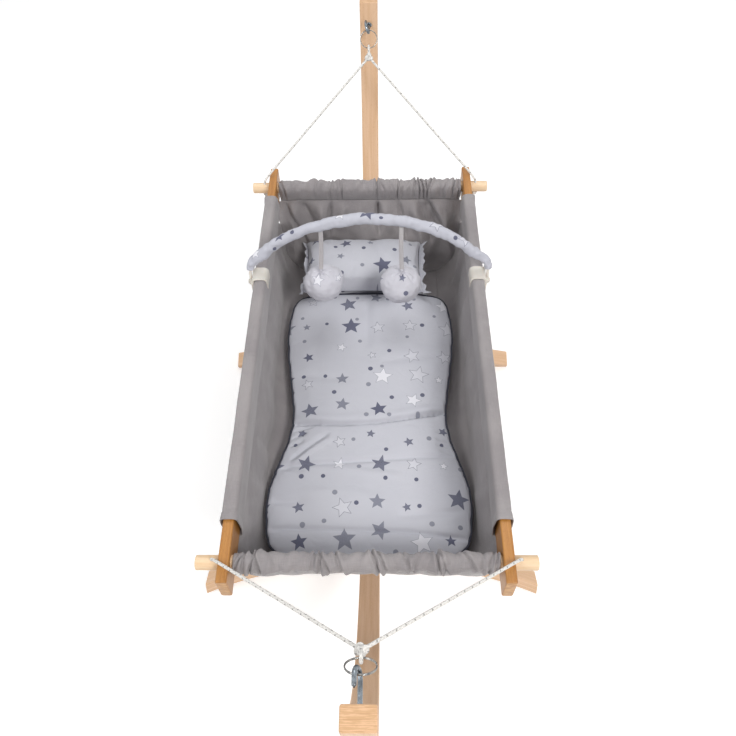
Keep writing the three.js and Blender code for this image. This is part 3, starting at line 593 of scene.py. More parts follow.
def star_print():
    """Scattered stars and dots in greys: a jittered grid of stars, with dots in the places left over."""
    tree, w, given, out = new_group(
        "star_print", ("Spacing", "Small", "Large"), ("Color", "Ink"), vectors=("Place",),
        colours=("Ground", "Dark", "Mid", "Pale"))
    x, y = w.separate(given["Place"])[:2]
    flat = w.combine(x, y, 0.0)
    spacing = given["Spacing"]
    star_jitter = 0.45
    star_point = math.radians(36)
    dots_aside = (0.413, 0.287, 0.0)
    edge = 0.0002

    def cells(place, size, jitter):
        """How far a place lies from the middle of its cell, and what is known of that cell."""
        scaled = w.vector("DIVIDE", place, w.combine(size, size, 1.0))
        cell = w.outputs(w.node(
            "ShaderNodeTexVoronoi", {"Vector": scaled, "Scale": 1.0, "Randomness": jitter},
            voronoi_dimensions="2D", feature="F1"))
        return w.scaled(w.vector("SUBTRACT", scaled, cell["Position"]), size), cell

    def draws(cell):
        return w.parts("ShaderNodeSeparateColor", "Color", cell["Color"])

    off, star = cells(flat, spacing, star_jitter)
    size_draw, turn_draw, kind = draws(star)
    reach = w.between(size_draw, 0.0, 1.0, given["Small"], given["Large"])
    ox, oy = w.separate(off)[:2]
    turn = w.math("ARCTAN2", oy, ox) + ((turn_draw - 0.5) * 0.8 + math.radians(-18))
    wedge = w.math("PINGPONG", turn, star_point)
    far = w.vector("LENGTH", off)
    side = (far * w.math("COSINE", wedge) - reach) * 0.384 + far * w.math("SINE", wedge) * 0.9233
    inside = w.between(side, edge, -edge)
    core = w.between(side, -0.0005, -0.0008)
    pale = kind > 0.68
    lined = pale * (kind < 0.85)
    mesh_turns = math.tau / 0.0024
    mesh = w.between(w.math("SINE", ox * mesh_turns) * w.math("SINE", oy * mesh_turns), 0.1, 0.35)
    hatched = w.mix(w.between(w.speckle(flat, 900.0), 0.4, 0.6, 0.0, 0.45), given["Mid"], given["Dark"])
    ink = given["Ground"]
    for mask, tone in (
            (inside * (kind < 0.42), given["Dark"]),
            (inside * ((kind > 0.42) * (kind < 0.68)), hatched),
            (core * pale, w.mix(lined * 0.7, given["Pale"], given["Ground"])),
            ((inside - core) * pale, w.mix(lined, given["Mid"], given["Dark"])),
            (core * (kind < 0.14) * mesh, given["Mid"])):
        ink = w.mix(mask, ink, tone)
    dot_spacing = spacing * 0.86
    dot_off, dot = cells(w.vector("ADD", flat, dots_aside), dot_spacing, 0.7)
    dot_home = w.vector("SUBTRACT", w.scaled(dot["Position"], dot_spacing), dots_aside)
    near = cells(dot_home, spacing, star_jitter)[1]
    room = near["Distance"] * spacing > given["Large"]
    dot_size, dot_tone = draws(dot)[:2]
    dot_reach = w.between(dot_size, 0.0, 1.0, 0.0040, 0.0052)
    spot = w.between(w.vector("LENGTH", dot_off) - dot_reach, edge, -edge) * room
    ink = w.mix(spot, ink, w.mix(dot_tone > 0.5, given["Dark"], given["Mid"]))
    w.feed(out, {"Color": ink, "Ink": w.math("MAXIMUM", inside, spot)})
    return tree


def metal_wear():
    """Fine scratches and dull patches on plated steel."""
    tree, w, given, out = new_group("metal_wear", ("Low", "High"), ("Roughness", "Height", "Tone"))
    patch = w.speckle(w.place(), 140.0, 4.0, 0.6)
    w.feed(out, {
        "Roughness": w.between(patch, 0.3, 0.7, given["Low"], given["High"]),
        "Height": w.speckle(w.place(), 1800.0), "Tone": patch})
    return tree


places_group = bent_wood_places()
wood_group = wood_figure()
weave_group = cloth_weave()
crease_group = cloth_creases()
print_group = star_print()
metal_group = metal_wear()


def new_material(name):
    """A material, the wiring of its nodes and the inputs of its shader."""
    material = bpy.data.materials.new(name)
    material.use_nodes = True
    tree = material.node_tree
    return material, Wiring(tree), tree.nodes["Principled BSDF"].inputs


def finish_wood(w, shader, places, tones, flecks, layer_height, layer_lines, coat, coat_roughness):
    names = ("Light", "Dark", "Fleck", "End Light")
    wood = w.group(wood_group, {
        **places, **{name: colour(tone) for name, tone in zip(names, tones)}, "Flecks": flecks,
        "Layer Height": layer_height, "Layer Lines": layer_lines})
    w.feed(shader, {
        "Base Color": wood["Color"], "Roughness": wood["Roughness"],
        "Normal": w.bump(wood["Height"], 0.0003, 0.5), "Coat Weight": coat,
        "Coat Roughness": coat_roughness})


def bent_wood(name, centre, first, second, radius):
    """Glued layers of pale wood, bent round a centre."""
    material, w, shader = new_material(name)
    places = w.group(places_group, {
        "Centre": centre, "Across": Vector(first).cross(Vector(second)), "First": first,
        "Second": second, "Radius": radius})
    finish_wood(w, shader, places, ("E5C1A0", "D9B18B", "AB7A52", "C29A70"), 0.3, 0.0056, 0.7, 0.12, 0.35)
    return material


def straight_wood(name, along_x, tones, flecks, coat, coat_roughness):
    """Plain wood with its grain along X or Y, and its end grain at both ends."""
    material, w, shader = new_material(name)
    x, y, z = w.separate(w.place())
    nx, ny = w.separate(w.read("Normal", "ShaderNodeTexCoord"))[:2]
    along, across, facing = (x, y, nx) if along_x else (y, x, ny)
    end = w.between(w.math("ABSOLUTE", facing), 0.85, 0.95)
    places = {"Along": along, "Across": across, "Layer": z, "End": end}
    finish_wood(w, shader, places, tones, flecks, 0.9, 0.0, coat, coat_roughness)
    return material


def map_place(w):
    return w.read("UV", "ShaderNodeUVMap", uv_map="cloth")


def leaning_place(w):
    """Places on a plane that leans back, for a print on a round toy."""
    x, y, z = w.separate(w.place())
    return w.combine(x, y * 0.6 + z * 0.8, 0.0)


def cloth(name, light, dark, thread=0.0011, crease=1.0, sheen=0.25):
    """A plain woven cloth in two close tones."""
    material, w, shader = new_material(name)
    weave = w.group(weave_group, {"Place": map_place(w), "Thread": thread})
    folds = w.group(crease_group, {"Size": 0.028})
    tone = folds["Tone"] * 0.55 + weave["Slub"] * 0.45
    base = w.mix(w.between(tone, 0.38, 0.62), colour(light), colour(dark))
    base = w.mix(w.between(weave["Threads"], -1.0, 1.0, 0.0, 0.14), base, (0.02, 0.02, 0.02, 1.0))
    height = folds["Crease"] * crease + weave["Threads"] * 0.05 + weave["Slub"] * 0.12
    w.feed(shader, {
        "Base Color": base, "Roughness": w.between(folds["Tone"], 0.3, 0.7, 0.58, 0.72),
        "Normal": w.bump(height, 0.0012), "Sheen Weight": sheen, "Sheen Roughness": 0.5,
        "Specular IOR Level": 0.38})
    return material


def printed(name, place_of, tones, spacing, small, large):
    """A cloth printed with stars and dots, in its ground, dark, middle and pale tones."""
    material, w, shader = new_material(name)
    place = place_of(w)
    names = ("Ground", "Dark", "Mid", "Pale")
    stars = w.group(print_group, {
        "Place": place, **{name: colour(tone) for name, tone in zip(names, tones)},
        "Spacing": spacing, "Small": small, "Large": large})
    weave = w.group(weave_group, {"Place": place, "Thread": 0.0008})
    folds = w.group(crease_group, {"Size": 0.035})
    base = w.mix(w.between(folds["Tone"], 0.3, 0.7, 0.0, 0.06), stars["Color"], (0.3, 0.32, 0.42, 1.0))
    base = w.mix(w.between(weave["Threads"], -1.0, 1.0, 0.0, 0.06), base, (0.05, 0.05, 0.06, 1.0))
    height = folds["Crease"] * (4 / 3) + weave["Threads"] * 0.03
    w.feed(shader, {
        "Base Color": base, "Roughness": w.between(stars["Ink"], 0.0, 1.0, 0.86, 0.76),
        "Normal": w.bump(height, 0.0012), "Sheen Weight": 0.15, "Sheen Roughness": 0.5,
        "Specular IOR Level": 0.2})
    return material


def rope(name):
    """White braided cord with dark tracer flecks, and painted shade in the grooves between its strands.
    """
    material, w, shader = new_material(name)
    u, v = w.separate(map_place(w))[:2]
    strand_pitch = 0.0075
    fleck_pitch = 0.009
    round_way = v / (2 * math.pi * cord_radius)
    one = w.math("SINE", (u / strand_pitch + round_way * 4.0) * math.tau)
    two = w.math("SINE", (u / strand_pitch - round_way * 4.0) * math.tau)
    braid = w.math("MAXIMUM", one, two)
    count = u / fleck_pitch
    band = w.math("FRACT", round_way * 2.0 + count * 0.5)
    fleck = (w.math("FRACT", count) < 0.28) * (band < 0.32)
    soft = w.speckle(w.place(), 260.0, 3.0)
    # Painted shade: the grooves between the braid's strands, where the braid is lowest, are darkened
    # towards B9B6B0.
    base = w.mix(w.between(braid, -1.0, 0.6, 0.35, 0.0), colour("EFEDE9"), colour("B9B6B0"))
    base = w.mix(w.between(soft, 0.35, 0.65, 0.0, 0.2), base, colour("CFCBC4"))
    base = w.mix(fleck * 0.7, base, colour("63605D"))
    w.feed(shader, {
        "Base Color": base, "Roughness": w.between(soft, 0.3, 0.7, 0.75, 0.9),
        "Normal": w.bump(braid, 0.0004), "Sheen Weight": 0.2})
    return material


def plated(name, tone, low, high):
    """Plated steel with duller, darker patches."""
    material, w, shader = new_material(name)
    wear = w.group(metal_group, {"Low": low, "High": high})
    base = w.mix(w.between(wear["Tone"], 0.38, 0.62, 0.0, 0.75), colour(tone), colour("565A5E"))
    w.feed(shader, {
        "Base Color": base, "Roughness": wear["Roughness"], "Metallic": 1.0,
        "Normal": w.bump(wear["Height"], 0.00005, 0.4)})
    return material


def moulded(name, tone, shade):
    """Moulded plastic with a fine grain."""
    material, w, shader = new_material(name)
    fine = w.speckle(w.place(), 1500.0)
    patch = w.between(w.speckle(w.place(), 60.0, 3.0), 0.3, 0.7, 0.0, 0.5)
    w.feed(shader, {
        "Base Color": w.mix(patch, colour(tone), colour(shade)),
        "Roughness": w.between(fine, 0.3, 0.7, 0.38, 0.52), "Normal": w.bump(fine, 0.00008, 0.5),
        "Subsurface Weight": 0.05})
    return material


def foot_wood(end_name, end):
    down = Vector((0, end * math.sin(foot_splay), -math.cos(foot_splay)))
    centre = Vector((0, 0, beam_centre)) + down * (foot_crown + foot_top)
    return bent_wood(f"pale_foot_wood_{end_name}", centre, (1, 0, 0), -down, foot_top)


wood_beam = bent_wood("pale_beam_wood", (0, 0, beam_centre), (0, 1, 0), (0, 0, -1), beam_middle)
wood_foot = {end: foot_wood(end_name, end) for end_name, end in ends}
wood_rail = straight_wood(
    "varnished_rail_wood", False, ("B67F3C", "A06824", "7A4B1B", "CB9A55"), 0.5, 0.4, 0.25)
wood_dowel = straight_wood(
    "pale_dowel_wood", True, ("EBD2B2", "DEBD94", "C69C68", "E9CDA8"), 0.25, 0.08, 0.4)
cloth_grey = cloth("grey_cloth", "9D9899", "8F8A8C")
cloth_print = printed(
    "printed_cloth_flat", Wiring.place, ("C7C8D0", "626478", "8F919D", "E6E6EC"), 0.072, 0.0095, 0.0235)
cloth_print_bar = printed(
    "printed_cloth_mapped", map_place, ("BFC0CA", "626478", "8F919D", "E6E6EC"), 0.064, 0.012, 0.019)
cloth_ball = printed(
    "ball_cloth", leaning_place, ("CCCBD3", "6F7186", "9A9CAC", "E6E6EC"), 0.066, 0.008, 0.015)
cloth_ribbon = cloth("ribbon_cloth", "D5D1D2", "C8C4C6", thread=0.0007, crease=0.25, sheen=0.4)
cloth_piping = cloth("piping_cloth", "2B2D3D", "222431", thread=0.0008, crease=0.25)
cord_white = rope("white_cord")
steel_zinc = plated("zinc_steel", "8F979E", 0.22, 0.4)
steel_nickel = plated("nickel_steel", "A5A29D", 0.12, 0.28)
plastic_ivory = moulded("ivory_plastic", "DBD5CD", "CFC8BD")


# Cords, knots, rings and hooks
def along_pull(end, distance):
    """A place on the line in which a ring pulls, at a distance from its seat on the hook."""
    return Vector((0, end * (hook_bend_y + pull.y * distance), hook_bend_z + pull.z * distance))


def cord_path(end, side):
    knot = along_pull(1, knot_distance)
    bend = Vector((cord_x - 10.5 * mm, dowel_y + 8.5 * mm, dowel_z + 28.6 * mm))
    points = [Vector((cord_x, dowel_y, dowel_z + up)) for up in (-18.3 * mm, 0, dowel_radius)]
    way = knot - bend
    stop = 1 - 3 * mm / way.length
    points += [bend + way * share * stop for share in (0, 0.25, 0.5, 0.75, 1)]
    return smooth_path([Vector((side * p.x, end * p.y, p.z)) for p in points], 14)


def knot_lump(name, centre, long_way, reach, length, radius, seed, taper=0.0):
    """A knot pulled tight: one strand that passes over and under itself."""
    long_way = Vector(long_way).normalized()
    side = Vector((1, 0, 0))
    side = (side - long_way * side.dot(long_way)).normalized()
    upright = long_way.cross(side)
    reach -= radius
    path = []
    for t in spread(0, math.tau, 90):
        a = (math.sin(t) + 2 * math.sin(2 * t)) / 3 * reach
        b = (math.cos(t) - 2 * math.cos(2 * t)) / 3 * (length / 2 - radius)
        c = -math.sin(3 * t + seed) * reach * 0.62
        wide = 1 + taper * b / (length / 2)
        path.append(Vector(centre) + side * a * wide + long_way * b + upright * c * wide)
    return tube_piece(name, path, radius, 12, first_side=(0.3, 0.5, 0.8))


def add_cord_leg(end_name, end, side_name, side):
    """A cord from its ring knot to the dowel, with the stopper knot and the tail under it."""
    path = cord_path(end, side)
    low = path[0]
    strand = tube_piece("strand", path, cord_radius, 14, first_side=(0, 1, 0))
    stopper = knot_lump("stopper", low, (0, 0, 1), 6.2 * mm, 12.5 * mm, 2.4 * mm, 0.6 * side)
    steps = ((0, 0, 0), (-side * 5, end, -7), (-side * 9, end * 2, -9))
    tail_path = smooth_path([low + Vector(step) * mm for step in steps], 6)
    tail = tube_piece("tail", tail_path, 2.3 * mm, 10)
    cord = joined(f"hanging_cord_{end_name}_{side_name}", [strand, stopper, tail])
    place_piece(cord, "cradle", cord_white, "white_cord", f"cord_{end_name}_{side_name}")


def add_ring_knot(end_name, end):
    """The knot over a ring, and the bight of cord through the ring."""
    knot_at = along_pull(end, knot_distance)
    way = Vector((0, end * pull.y, pull.z))
    lump = knot_lump("lump", knot_at, way, 9.6 * mm, 20 * mm, 3.1 * mm, 0.4, 0.3)
    core = knot_lump("core", knot_at + way * 1.5 * mm, way, 8 * mm, 15 * mm, 3.2 * mm, 2.1, 0.3)
    across = Vector((1, 0, 0)).cross(way)
    bottom = ring_seat + 2 * ring_radius
    reach = 4.5 * mm
    points = [knot_at + across * reach]
    for turn in spread(0, math.pi, 8):
        points.append(along_pull(end, bottom - reach * math.sin(turn)) + across * reach * math.cos(turn))
    points.append(knot_at - across * reach)
    bight = tube_piece("bight", smooth_path(points, 6), cord_radius, 12)
    knot = joined(f"knot_and_bight_{end_name}", [lump, core, bight])
    place_piece(knot, "cradle", cord_white, "white_cord", f"cord_knot_{end_name}")


def add_ring(end_name, end):
    """Two turns of springy wire, one beside the other."""
    way = Vector((0, end * pull.y, pull.z))
    side = Vector((1, 0, 0))
    axis = way.cross(side)
    centre = along_pull(end, ring_seat + ring_radius)
    path = []
    for share in spread(0, 1, 120):
        turn = 2 * math.tau * share
        shift = axis * ((share - 0.5) * 2 * ring_wire)
        path.append(centre + ring_radius * (math.cos(turn) * side + math.sin(turn) * way) + shift)
    ring = tube_piece(f"split_ring_coil_{end_name}", path, ring_wire, 10)
    place_piece(ring, "cradle", steel_nickel, "nickel_steel", f"split_ring_{end_name}")


def add_hook(end_name, end):
    """A bent wire hook whose bend leans to one side, with a collar where it enters the beam."""
    points = [(hook_face + 18 * mm, hook_height), (hook_face, hook_height),
              (hook_bend_y + hook_bend_radius, hook_height), (hook_bend_y + 3 * mm, hook_height)]
    for turn in spread(0, math.pi, 8):
        points.append((hook_bend_y - hook_bend_radius * math.sin(turn),
                       hook_bend_z - hook_bend_radius * math.cos(turn)))
    points += [(hook_bend_y + past * mm, hook_bend_z + hook_bend_radius) for past in (7, 13)]
    lean = Matrix.Rotation(hook_twist, 3, "Y").inverted()
    foot = Vector((0, 0, hook_height))
    leaned = [foot + lean @ Vector((0, end * y, z - hook_height)) for y, z in points]
    wire_radius = 3 * mm
    point_share = 0.03

    def wire_size(share):
        return wire_radius * (1 if share < 1 - point_share else max(0.3, (1 - share) / point_share))

    wire = tube_piece("wire", smooth_path(leaned, 5), wire_size, 14)
    rows = []
    for out, reach in ((0.0, 3.2), (0.0, 6.1), (0.5, 6.5), (1.4, 6.5), (1.9, 6.0), (2.2, 3.4)):
        y = end * (hook_face - 1.2 * mm - out * mm)
        rows.append([
            Vector((math.cos(turn) * reach * mm, y, hook_height + math.sin(turn) * reach * mm))
            for turn in turns(20)])
    collar = grid_piece("collar", rows, around=True, flip=end > 0)
    hook = joined(f"hook_wire_{end_name}", [wire, collar])
    place_piece(hook, "stand", steel_zinc, "zinc_steel", f"screw_hook_{end_name}")


# The stand
def beam_ring(end, angle, inner, outer, inset=0.0, corner=3.0):
    """The section of the beam at an angle from its middle, between two radii."""
    half_height = (outer - inner) / 2 - inset
    middle = (outer + inner) / 2
    corner = max(min(corner * mm, half_height * 0.8) - inset * 0.5, 0.4 * mm)
    ring = []
    for x, r in rounded_section(beam_width / 2 - inset, half_height, corner):
        radius = middle + r
        ring.append(Vector((x, end * radius * math.sin(angle), beam_centre - radius * math.cos(angle))))
    return ring


def add_beam(end_name, end):
    """A bent half of the beam, whose tongue lies on or under the tongue of the other half."""
    if end > 0:
        tongue = (beam_middle + fit_gap / 2, beam_outer)
    else:
        tongue = (beam_inner, beam_middle - fit_gap / 2)
    whole = (beam_inner, beam_outer)
    start = -lap_angle + fit_gap / beam_middle
    edge = 1.2 * mm / beam_middle
    rings = [beam_ring(end, start, *tongue, inset=1.0 * mm, corner=1.6)]
    rings += [beam_ring(end, angle, *tongue, corner=1.6) for angle in spread(start + edge, lap_angle, 8)]
    rings.append(beam_ring(end, lap_angle + edge * 0.1, *whole, inset=1.2 * mm))
    last = beam_half_angle - 1.6 * mm / beam_middle
    rings += [beam_ring(end, angle, *whole) for angle in spread(lap_angle + edge, last, 110)]
    rings.append(beam_ring(end, beam_half_angle - 0.5 * mm / beam_middle, *whole, inset=0.6 * mm))
    rings.append(beam_ring(end, beam_half_angle, *whole, inset=1.7 * mm))
    piece = grid_piece(f"bent_beam_{end_name}", rings, around=True, caps=True, flip=end < 0)
    flat_faces(piece)
    place_piece(piece, "stand", wood_beam, "pale_wood", f"beam_{end_name}_half")


def add_foot(end_name, end):
    """A bent cross foot, cut flat at its tips and at its soles."""
    turn = Matrix.Rotation(end * foot_splay, 3, "X")
    middle = (foot_top + foot_under) / 2
    reach = math.asin((foot_half + 12 * mm) / foot_under)
    rings = []
    for angle in spread(-reach, reach, 90):
        ring = []
        for y, r in rounded_section(foot_width / 2, foot_thick / 2, 3 * mm):
            radius = middle + r
            z = -foot_crown - foot_top + radius * math.cos(angle)
            ring.append(turn @ Vector((radius * math.sin(angle), y, z)) + Vector((0, 0, beam_centre)))
        rings.append(ring)
    piece = grid_piece(f"bent_foot_{end_name}", rings, around=True)
    mesh = bmesh.new()
    mesh.from_mesh(piece.data)
    tip = Vector((foot_half, 0, 0))
    for point, normal in ((tip, (1, 0, 0)), (-tip, (-1, 0, 0)), ((0, 0, 0), (0, 0, -1))):
        whole = [*mesh.verts, *mesh.edges, *mesh.faces]
        bmesh.ops.bisect_plane(mesh, geom=whole, plane_co=point, plane_no=normal, clear_outer=True)
        open_edges = [edge for edge in mesh.edges if edge.is_boundary]
        bmesh.ops.edgeloop_fill(mesh, edges=open_edges)
    bmesh.ops.recalc_face_normals(mesh, faces=mesh.faces)
    mesh.to_mesh(piece.data)
    mesh.free()
    soften_edges(piece, 1.6 * mm, 50)
    flat_faces(piece)
    place_piece(piece, "stand", wood_foot[end], "pale_wood", f"cross_foot_{end_name}")


# The frame of the cradle
def softened_places(half, edges, inner, steps):
    """Places from end to end of a bar, each with what the edges say of that place."""
    low = [(-half + away * mm, value) for away, value in edges]
    even = [(place, edges[-1][1]) for place in spread(-half + inner * mm, half - inner * mm, steps)]
    return low + even + [(-place, value) for place, value in reversed(low)]


def add_dowel(end_name, end):
    """A round dowel with a hole for a cord near each end."""
    rows = []
    for x, inset in softened_places(dowel_half, ((0, 1.4), (0.5, 0.4), (1.6, 0.0)), 4, 24):
        radius = dowel_radius - inset * mm
        rows.append([
            Vector((x, end * dowel_y + math.cos(turn) * radius, dowel_z + math.sin(turn) * radius))
            for turn in turns(40)])
    piece = grid_piece(f"cross_dowel_{end_name}", rows, around=True, caps=True)
    cutters = []
    for side_name, side in sides:
        path = [Vector((side * cord_x, end * dowel_y, dowel_z + up * mm)) for up in (-20, 0, 20)]
        cutters.append(tube_piece("cutter", path, cord_hole_radius, 20))
    drill(piece, cutters)
    for polygon in piece.data.polygons:
        polygon.use_smooth = True
    flat_faces(piece, 60, False)
    place_piece(piece, "cradle", wood_dowel, "dowel_wood", f"dowel_{end_name}")


def add_rail(side_name, side):
    rows = []
    for y, inset in softened_places(rail_half_length, ((0, 1.8), (0.6, 0.6), (2, 0.0)), 6, 30):
        section = rounded_section(
            rail_half_thick - inset * mm, rail_half_height - inset * mm, (3.4 - inset * 0.5) * mm, 5)
        rows.append([Vector((side * rail_x + x, y, rail_z + z)) for x, z in section])
    piece = grid_piece(f"side_rail_{side_name}", rows, around=True, caps=True)
    flat_faces(piece)
    place_piece(piece, "cradle", wood_rail, "varnished_wood", f"rail_{side_name}")


# The cloth basket
def add_sheet(name, rows, thickness, stands_for, around=False, flip=False):
    """A sheet of the basket's grey cloth, open or closed round the piece that it rests on."""
    piece = grid_piece(name, rows, around=around, flip=flip)
    thicken(piece, thickness, -1 if around else 0)
    place_piece(piece, "cradle", cloth_grey, "grey_cloth", stands_for)
    flat_size(rows, around)


def filled_loop(points, gap):
    """The same loop with more points, so that no two neighbours are further apart than the gap."""
    filled = []
    for (ax, ay), (bx, by) in zip(points, points[1:] + points[:1]):
        count = max(math.ceil(math.hypot(bx - ax, by - ay) / gap), 1)
        filled += [(ax + (bx - ax) * i / count, ay + (by - ay) * i / count) for i in range(count)]
    return filled


def add_rail_sleeve(side_name, side):
    """A hemmed cloth tube round a rail, with a puckered seam along its top."""
    section = filled_loop(
        rounded_section(sleeve_half_thick - 1.0 * mm, sleeve_half_height - 1.2 * mm, 6.5 * mm, 6), 3 * mm)
    seam_x = 4.6 * mm
    hem_width = 16 * mm
    rows = []
    for y in spread(-sleeve_half, sleeve_half, 230):
        from_end = sleeve_half - abs(y)
        hem = 0.7 * mm if from_end < hem_width else 0.0
        if hem_width - 1 * mm < from_end < hem_width + 2 * mm:
            hem = -0.5 * mm
        flare = 1.6 * mm * max(1 - from_end / (24 * mm), 0) ** 2
        row = []
        for x, z in section:
            point = Vector((side * rail_x + x, y, rail_z + z))
            normal = Vector((x / sleeve_half_thick, 0, z / sleeve_half_height)).normalized()
            ripple = crumple(Vector((point.x, point.y * 0.35, point.z)), 22 * mm, 1.0 * mm, side)
            if z > 0:
                off = side * x - seam_x
                pucker = 0.55 * mm * wobble(y / (5 * mm), 0, side)
                ripple += pucker * bell(off, 5 * mm) - 0.9 * mm * bell(off, 1.1 * mm)
            point += normal * (hem + ripple + flare)
            if -side * x > 5 * mm:
                point.x -= side * 1.3 * mm * (1 - (z / sleeve_half_height) ** 2)
            row.append(point)
        rows.append(row)
    add_sheet(f"rail_sleeve_cloth_{side_name}", rows, 1.5 * mm, f"rail_sleeve_{side_name}",
              around=True)


def end_wall_y(z):
    top_y = dowel_y - 5 * mm
    lean = top_y - floor_half_length
    return top_y - lean * (end_wall_top - z) / (end_wall_top - wall_bottom)


def side_wall_x(z):
    return rail_x - (rail_x - floor_half_width) * (wall_top - z) / (wall_top - wall_bottom)


def share_at(shares, place):
    """The value between two shares at a place."""
    for (a, low), (b, high) in zip(shares, shares[1:]):
        if a <= place <= b:
            t = (place - a) / (b - a)
            t = eased(t) * 0.5 + t * 0.5
            return low + (high - low) * t
    return shares[-1][1]


mattress_length = 2 * (floor_half_length - 13 * mm)
mattress_shares = [
    (0, 0.72), (0.012, 0.86), (0.035, 0.935), (0.075, 0.975), (0.14, 0.995), (0.19, 0.985),
    (0.23, 0.95), (0.275, 0.9), (0.33, 0.84), (0.385, 0.81), (0.43, 0.815), (0.49, 0.845),
    (0.55, 0.88), (0.62, 0.92), (0.69, 0.94), (0.755, 0.93), (0.8, 0.905), (0.82, 0.88),
    (0.836, 0.835), (0.847, 0.775), (0.855, 0.69), (0.862, 0.62), (0.9, 0.59), (0.95, 0.54),
    (0.98, 0.48), (1, 0.38)]


def mattress_outline(y):
    """Half the width of the mattress at a place along it."""
    return mattress_half_width * share_at(mattress_shares, clamped(y / mattress_length + 0.5))


def side_fillet(y):
    """The radius in which a side wall turns into the floor, larger where the mattress leaves room."""
    room = floor_half_width - mattress_outline(y)
    return min(25 * mm + 0.5 * room, 42 * mm)


def end_fillet(x):
    """The radius in which an end wall turns into the floor, smaller at the corners."""
    return (26 - 10 * eased(clamped((abs(x) / floor_half_width - 0.6) / 0.4))) * mm


def end_bow(x):
    return 4 * mm * (1 - min(abs(x) / floor_half_width, 1) ** 2)


def turned_in(z, radius):
    """How far a wall has run inward at a height on its way into the floor."""
    low = clamped(wall_bottom + radius - z, 0, radius)
    return radius - math.sqrt(radius ** 2 - low ** 2)


def wall_down(share, top, radius):
    """The height and the inward run of a wall at a share of its way down and into the floor."""
    straight = top - wall_bottom - radius
    run = share * (straight + radius * math.pi / 2)
    if run <= straight:
        return top - run, 0.0
    turn = (run - straight) / radius
    return wall_bottom + radius * (1 - math.sin(turn)), radius * (1 - math.cos(turn))


# Folds and creases: two ends, a width and a height each, in millimetres
side_folds = {
    -1: [(335, 150, 352, 20, 12, -6), (375, 155, 385, 30, 13, 5), (-280, 150, -240, 20, 16, -3),
        (-385, 150, -340, 30, 14, 4), (60, 160, 90, 30, 22, 3)],
    1: [(342, 155, 318, 15, 11, -8), (368, 160, 378, 30, 14, 6), (300, 140, 292, 20, 13, 4),
        (-300, 150, -255, 20, 16, -3), (-390, 150, -350, 30, 14, 4), (10, 160, 50, 30, 22, 3)]}


def add_side_panel(side_name, side):
    """A side wall that sags between its corners, butts on the end walls and turns into the floor."""
    corner_x = 190 * mm
    rows = []
    for down in spread(0, 1, 60):
        middle = math.sin(min(down * 1.15, 1) * math.pi)
        points = []
        for place in spread(-1, 1, 200):
            z, run = wall_down(down, wall_top + 1.5 * mm, side_fillet(place * floor_half_length))
            slit = clamped((wall_top - z) / (50 * mm))
            butt = end_wall_y(z) - turned_in(z, end_fillet(corner_x)) - 1.4 * mm
            y = place * min(sleeve_half + 36 * mm * slit, butt)
            sag = middle * (1 - place ** 4)
            wave = 0.5 + 0.5 * math.sin(9 * place + 2.2 * down + side) * math.sin(17 * place - 1.3 * side)
            x = side_wall_x(z) - run - 4.5 * mm * sag * (0.75 + 0.5 * wave)
            soft = drape(Vector((y, z * 0.4, 0.3 * side)), 85 * mm, 4.5 * mm, side)
            soft += crumple(Vector((y + 0.6 * z, z, 0)), 26 * mm, 1.6 * mm, 2 + side)
            soft += folds_at(y, z - wall_bottom, side_folds[side])
            x += soft * middle ** 0.5 * 0.8 * min((1 - abs(place)) * 12, 1)
            points.append(Vector((side * x, y, z)))
        rows.append(points)
    add_sheet(f"side_panel_cloth_{side_name}", rows, panel_thick, f"side_panel_{side_name}",
              flip=side < 0)


# Places, widths and depths of the pinches in the gathered sleeves, in millimetres from the middle
head_pinches = [
    (-203, 5.0, 2.4), (-177, 10.0, 1.0), (-150, 13.0, 0.8), (-124, 7.0, 1.5), (-91, 3.8, 3.2),
    (-80, 6.0, 1.4), (-66, 4.6, 2.2), (-40, 10.0, 1.2), (-12, 8.0, 1.0), (16, 3.6, 3.6),
    (26, 6.0, 1.4), (46, 9.0, 0.9), (66, 3.6, 3.0), (84, 8.0, 1.2), (104, 3.4, 3.2),
    (112, 3.0, 2.4), (120, 3.6, 3.6), (129, 3.0, 2.6), (138, 3.8, 3.2), (158, 9.0, 1.1),
    (177, 6.0, 1.4), (193, 3.8, 3.0), (203, 3.2, 2.0)]
foot_pinches = [
    (-204, 3.4, 2.2), (-193, 4.4, 2.4), (-181, 4.0, 3.2), (-170, 4.6, 2.6), (-140, 11.0, 1.1),
    (-112, 9.0, 0.9), (-84, 4.8, 3.2), (-73, 4.0, 3.6), (-63, 5.0, 3.0), (-42, 5.0, 3.0),
    (-14, 11.0, 0.9), (17, 4.8, 3.6), (28, 5.0, 1.6), (46, 10.0, 0.8), (66, 5.0, 1.8),
    (77, 6.5, 1.3), (95, 9.0, 0.8), (113, 4.8, 3.2), (122, 4.4, 2.4), (145, 10.0, 1.0),
    (167, 5.5, 2.0), (182, 6.0, 1.3), (194, 4.4, 3.0), (203, 3.4, 2.6)]
sleeve_pinches = {1: head_pinches, -1: foot_pinches}


def pinch_height(x, turn, end):
    """How far a gathered sleeve stands out at a place along it and a turn round its dowel."""
    total = 0.0
    for i, (centre, width, depth) in enumerate(sleeve_pinches[end]):
        slant = wobble(i * 3.7, 1.3 * end, 0.4) * (5 + 1.9 * width) * mm
        off = (x - centre * mm - slant * (turn - 0.6)) / (width * mm)
        if abs(off) > 4:
            continue
        reach = 0.72 + 0.5 * wobble(i * 1.9, turn * 0.9, 3.1 * end)
        shape = 0.55 * bell(off - 1.1, 0.8) + 0.4 * bell(off + 1.1, 0.7)
        total += 2.5 * depth * mm * reach * (shape - bell(off, 0.42))
    return total


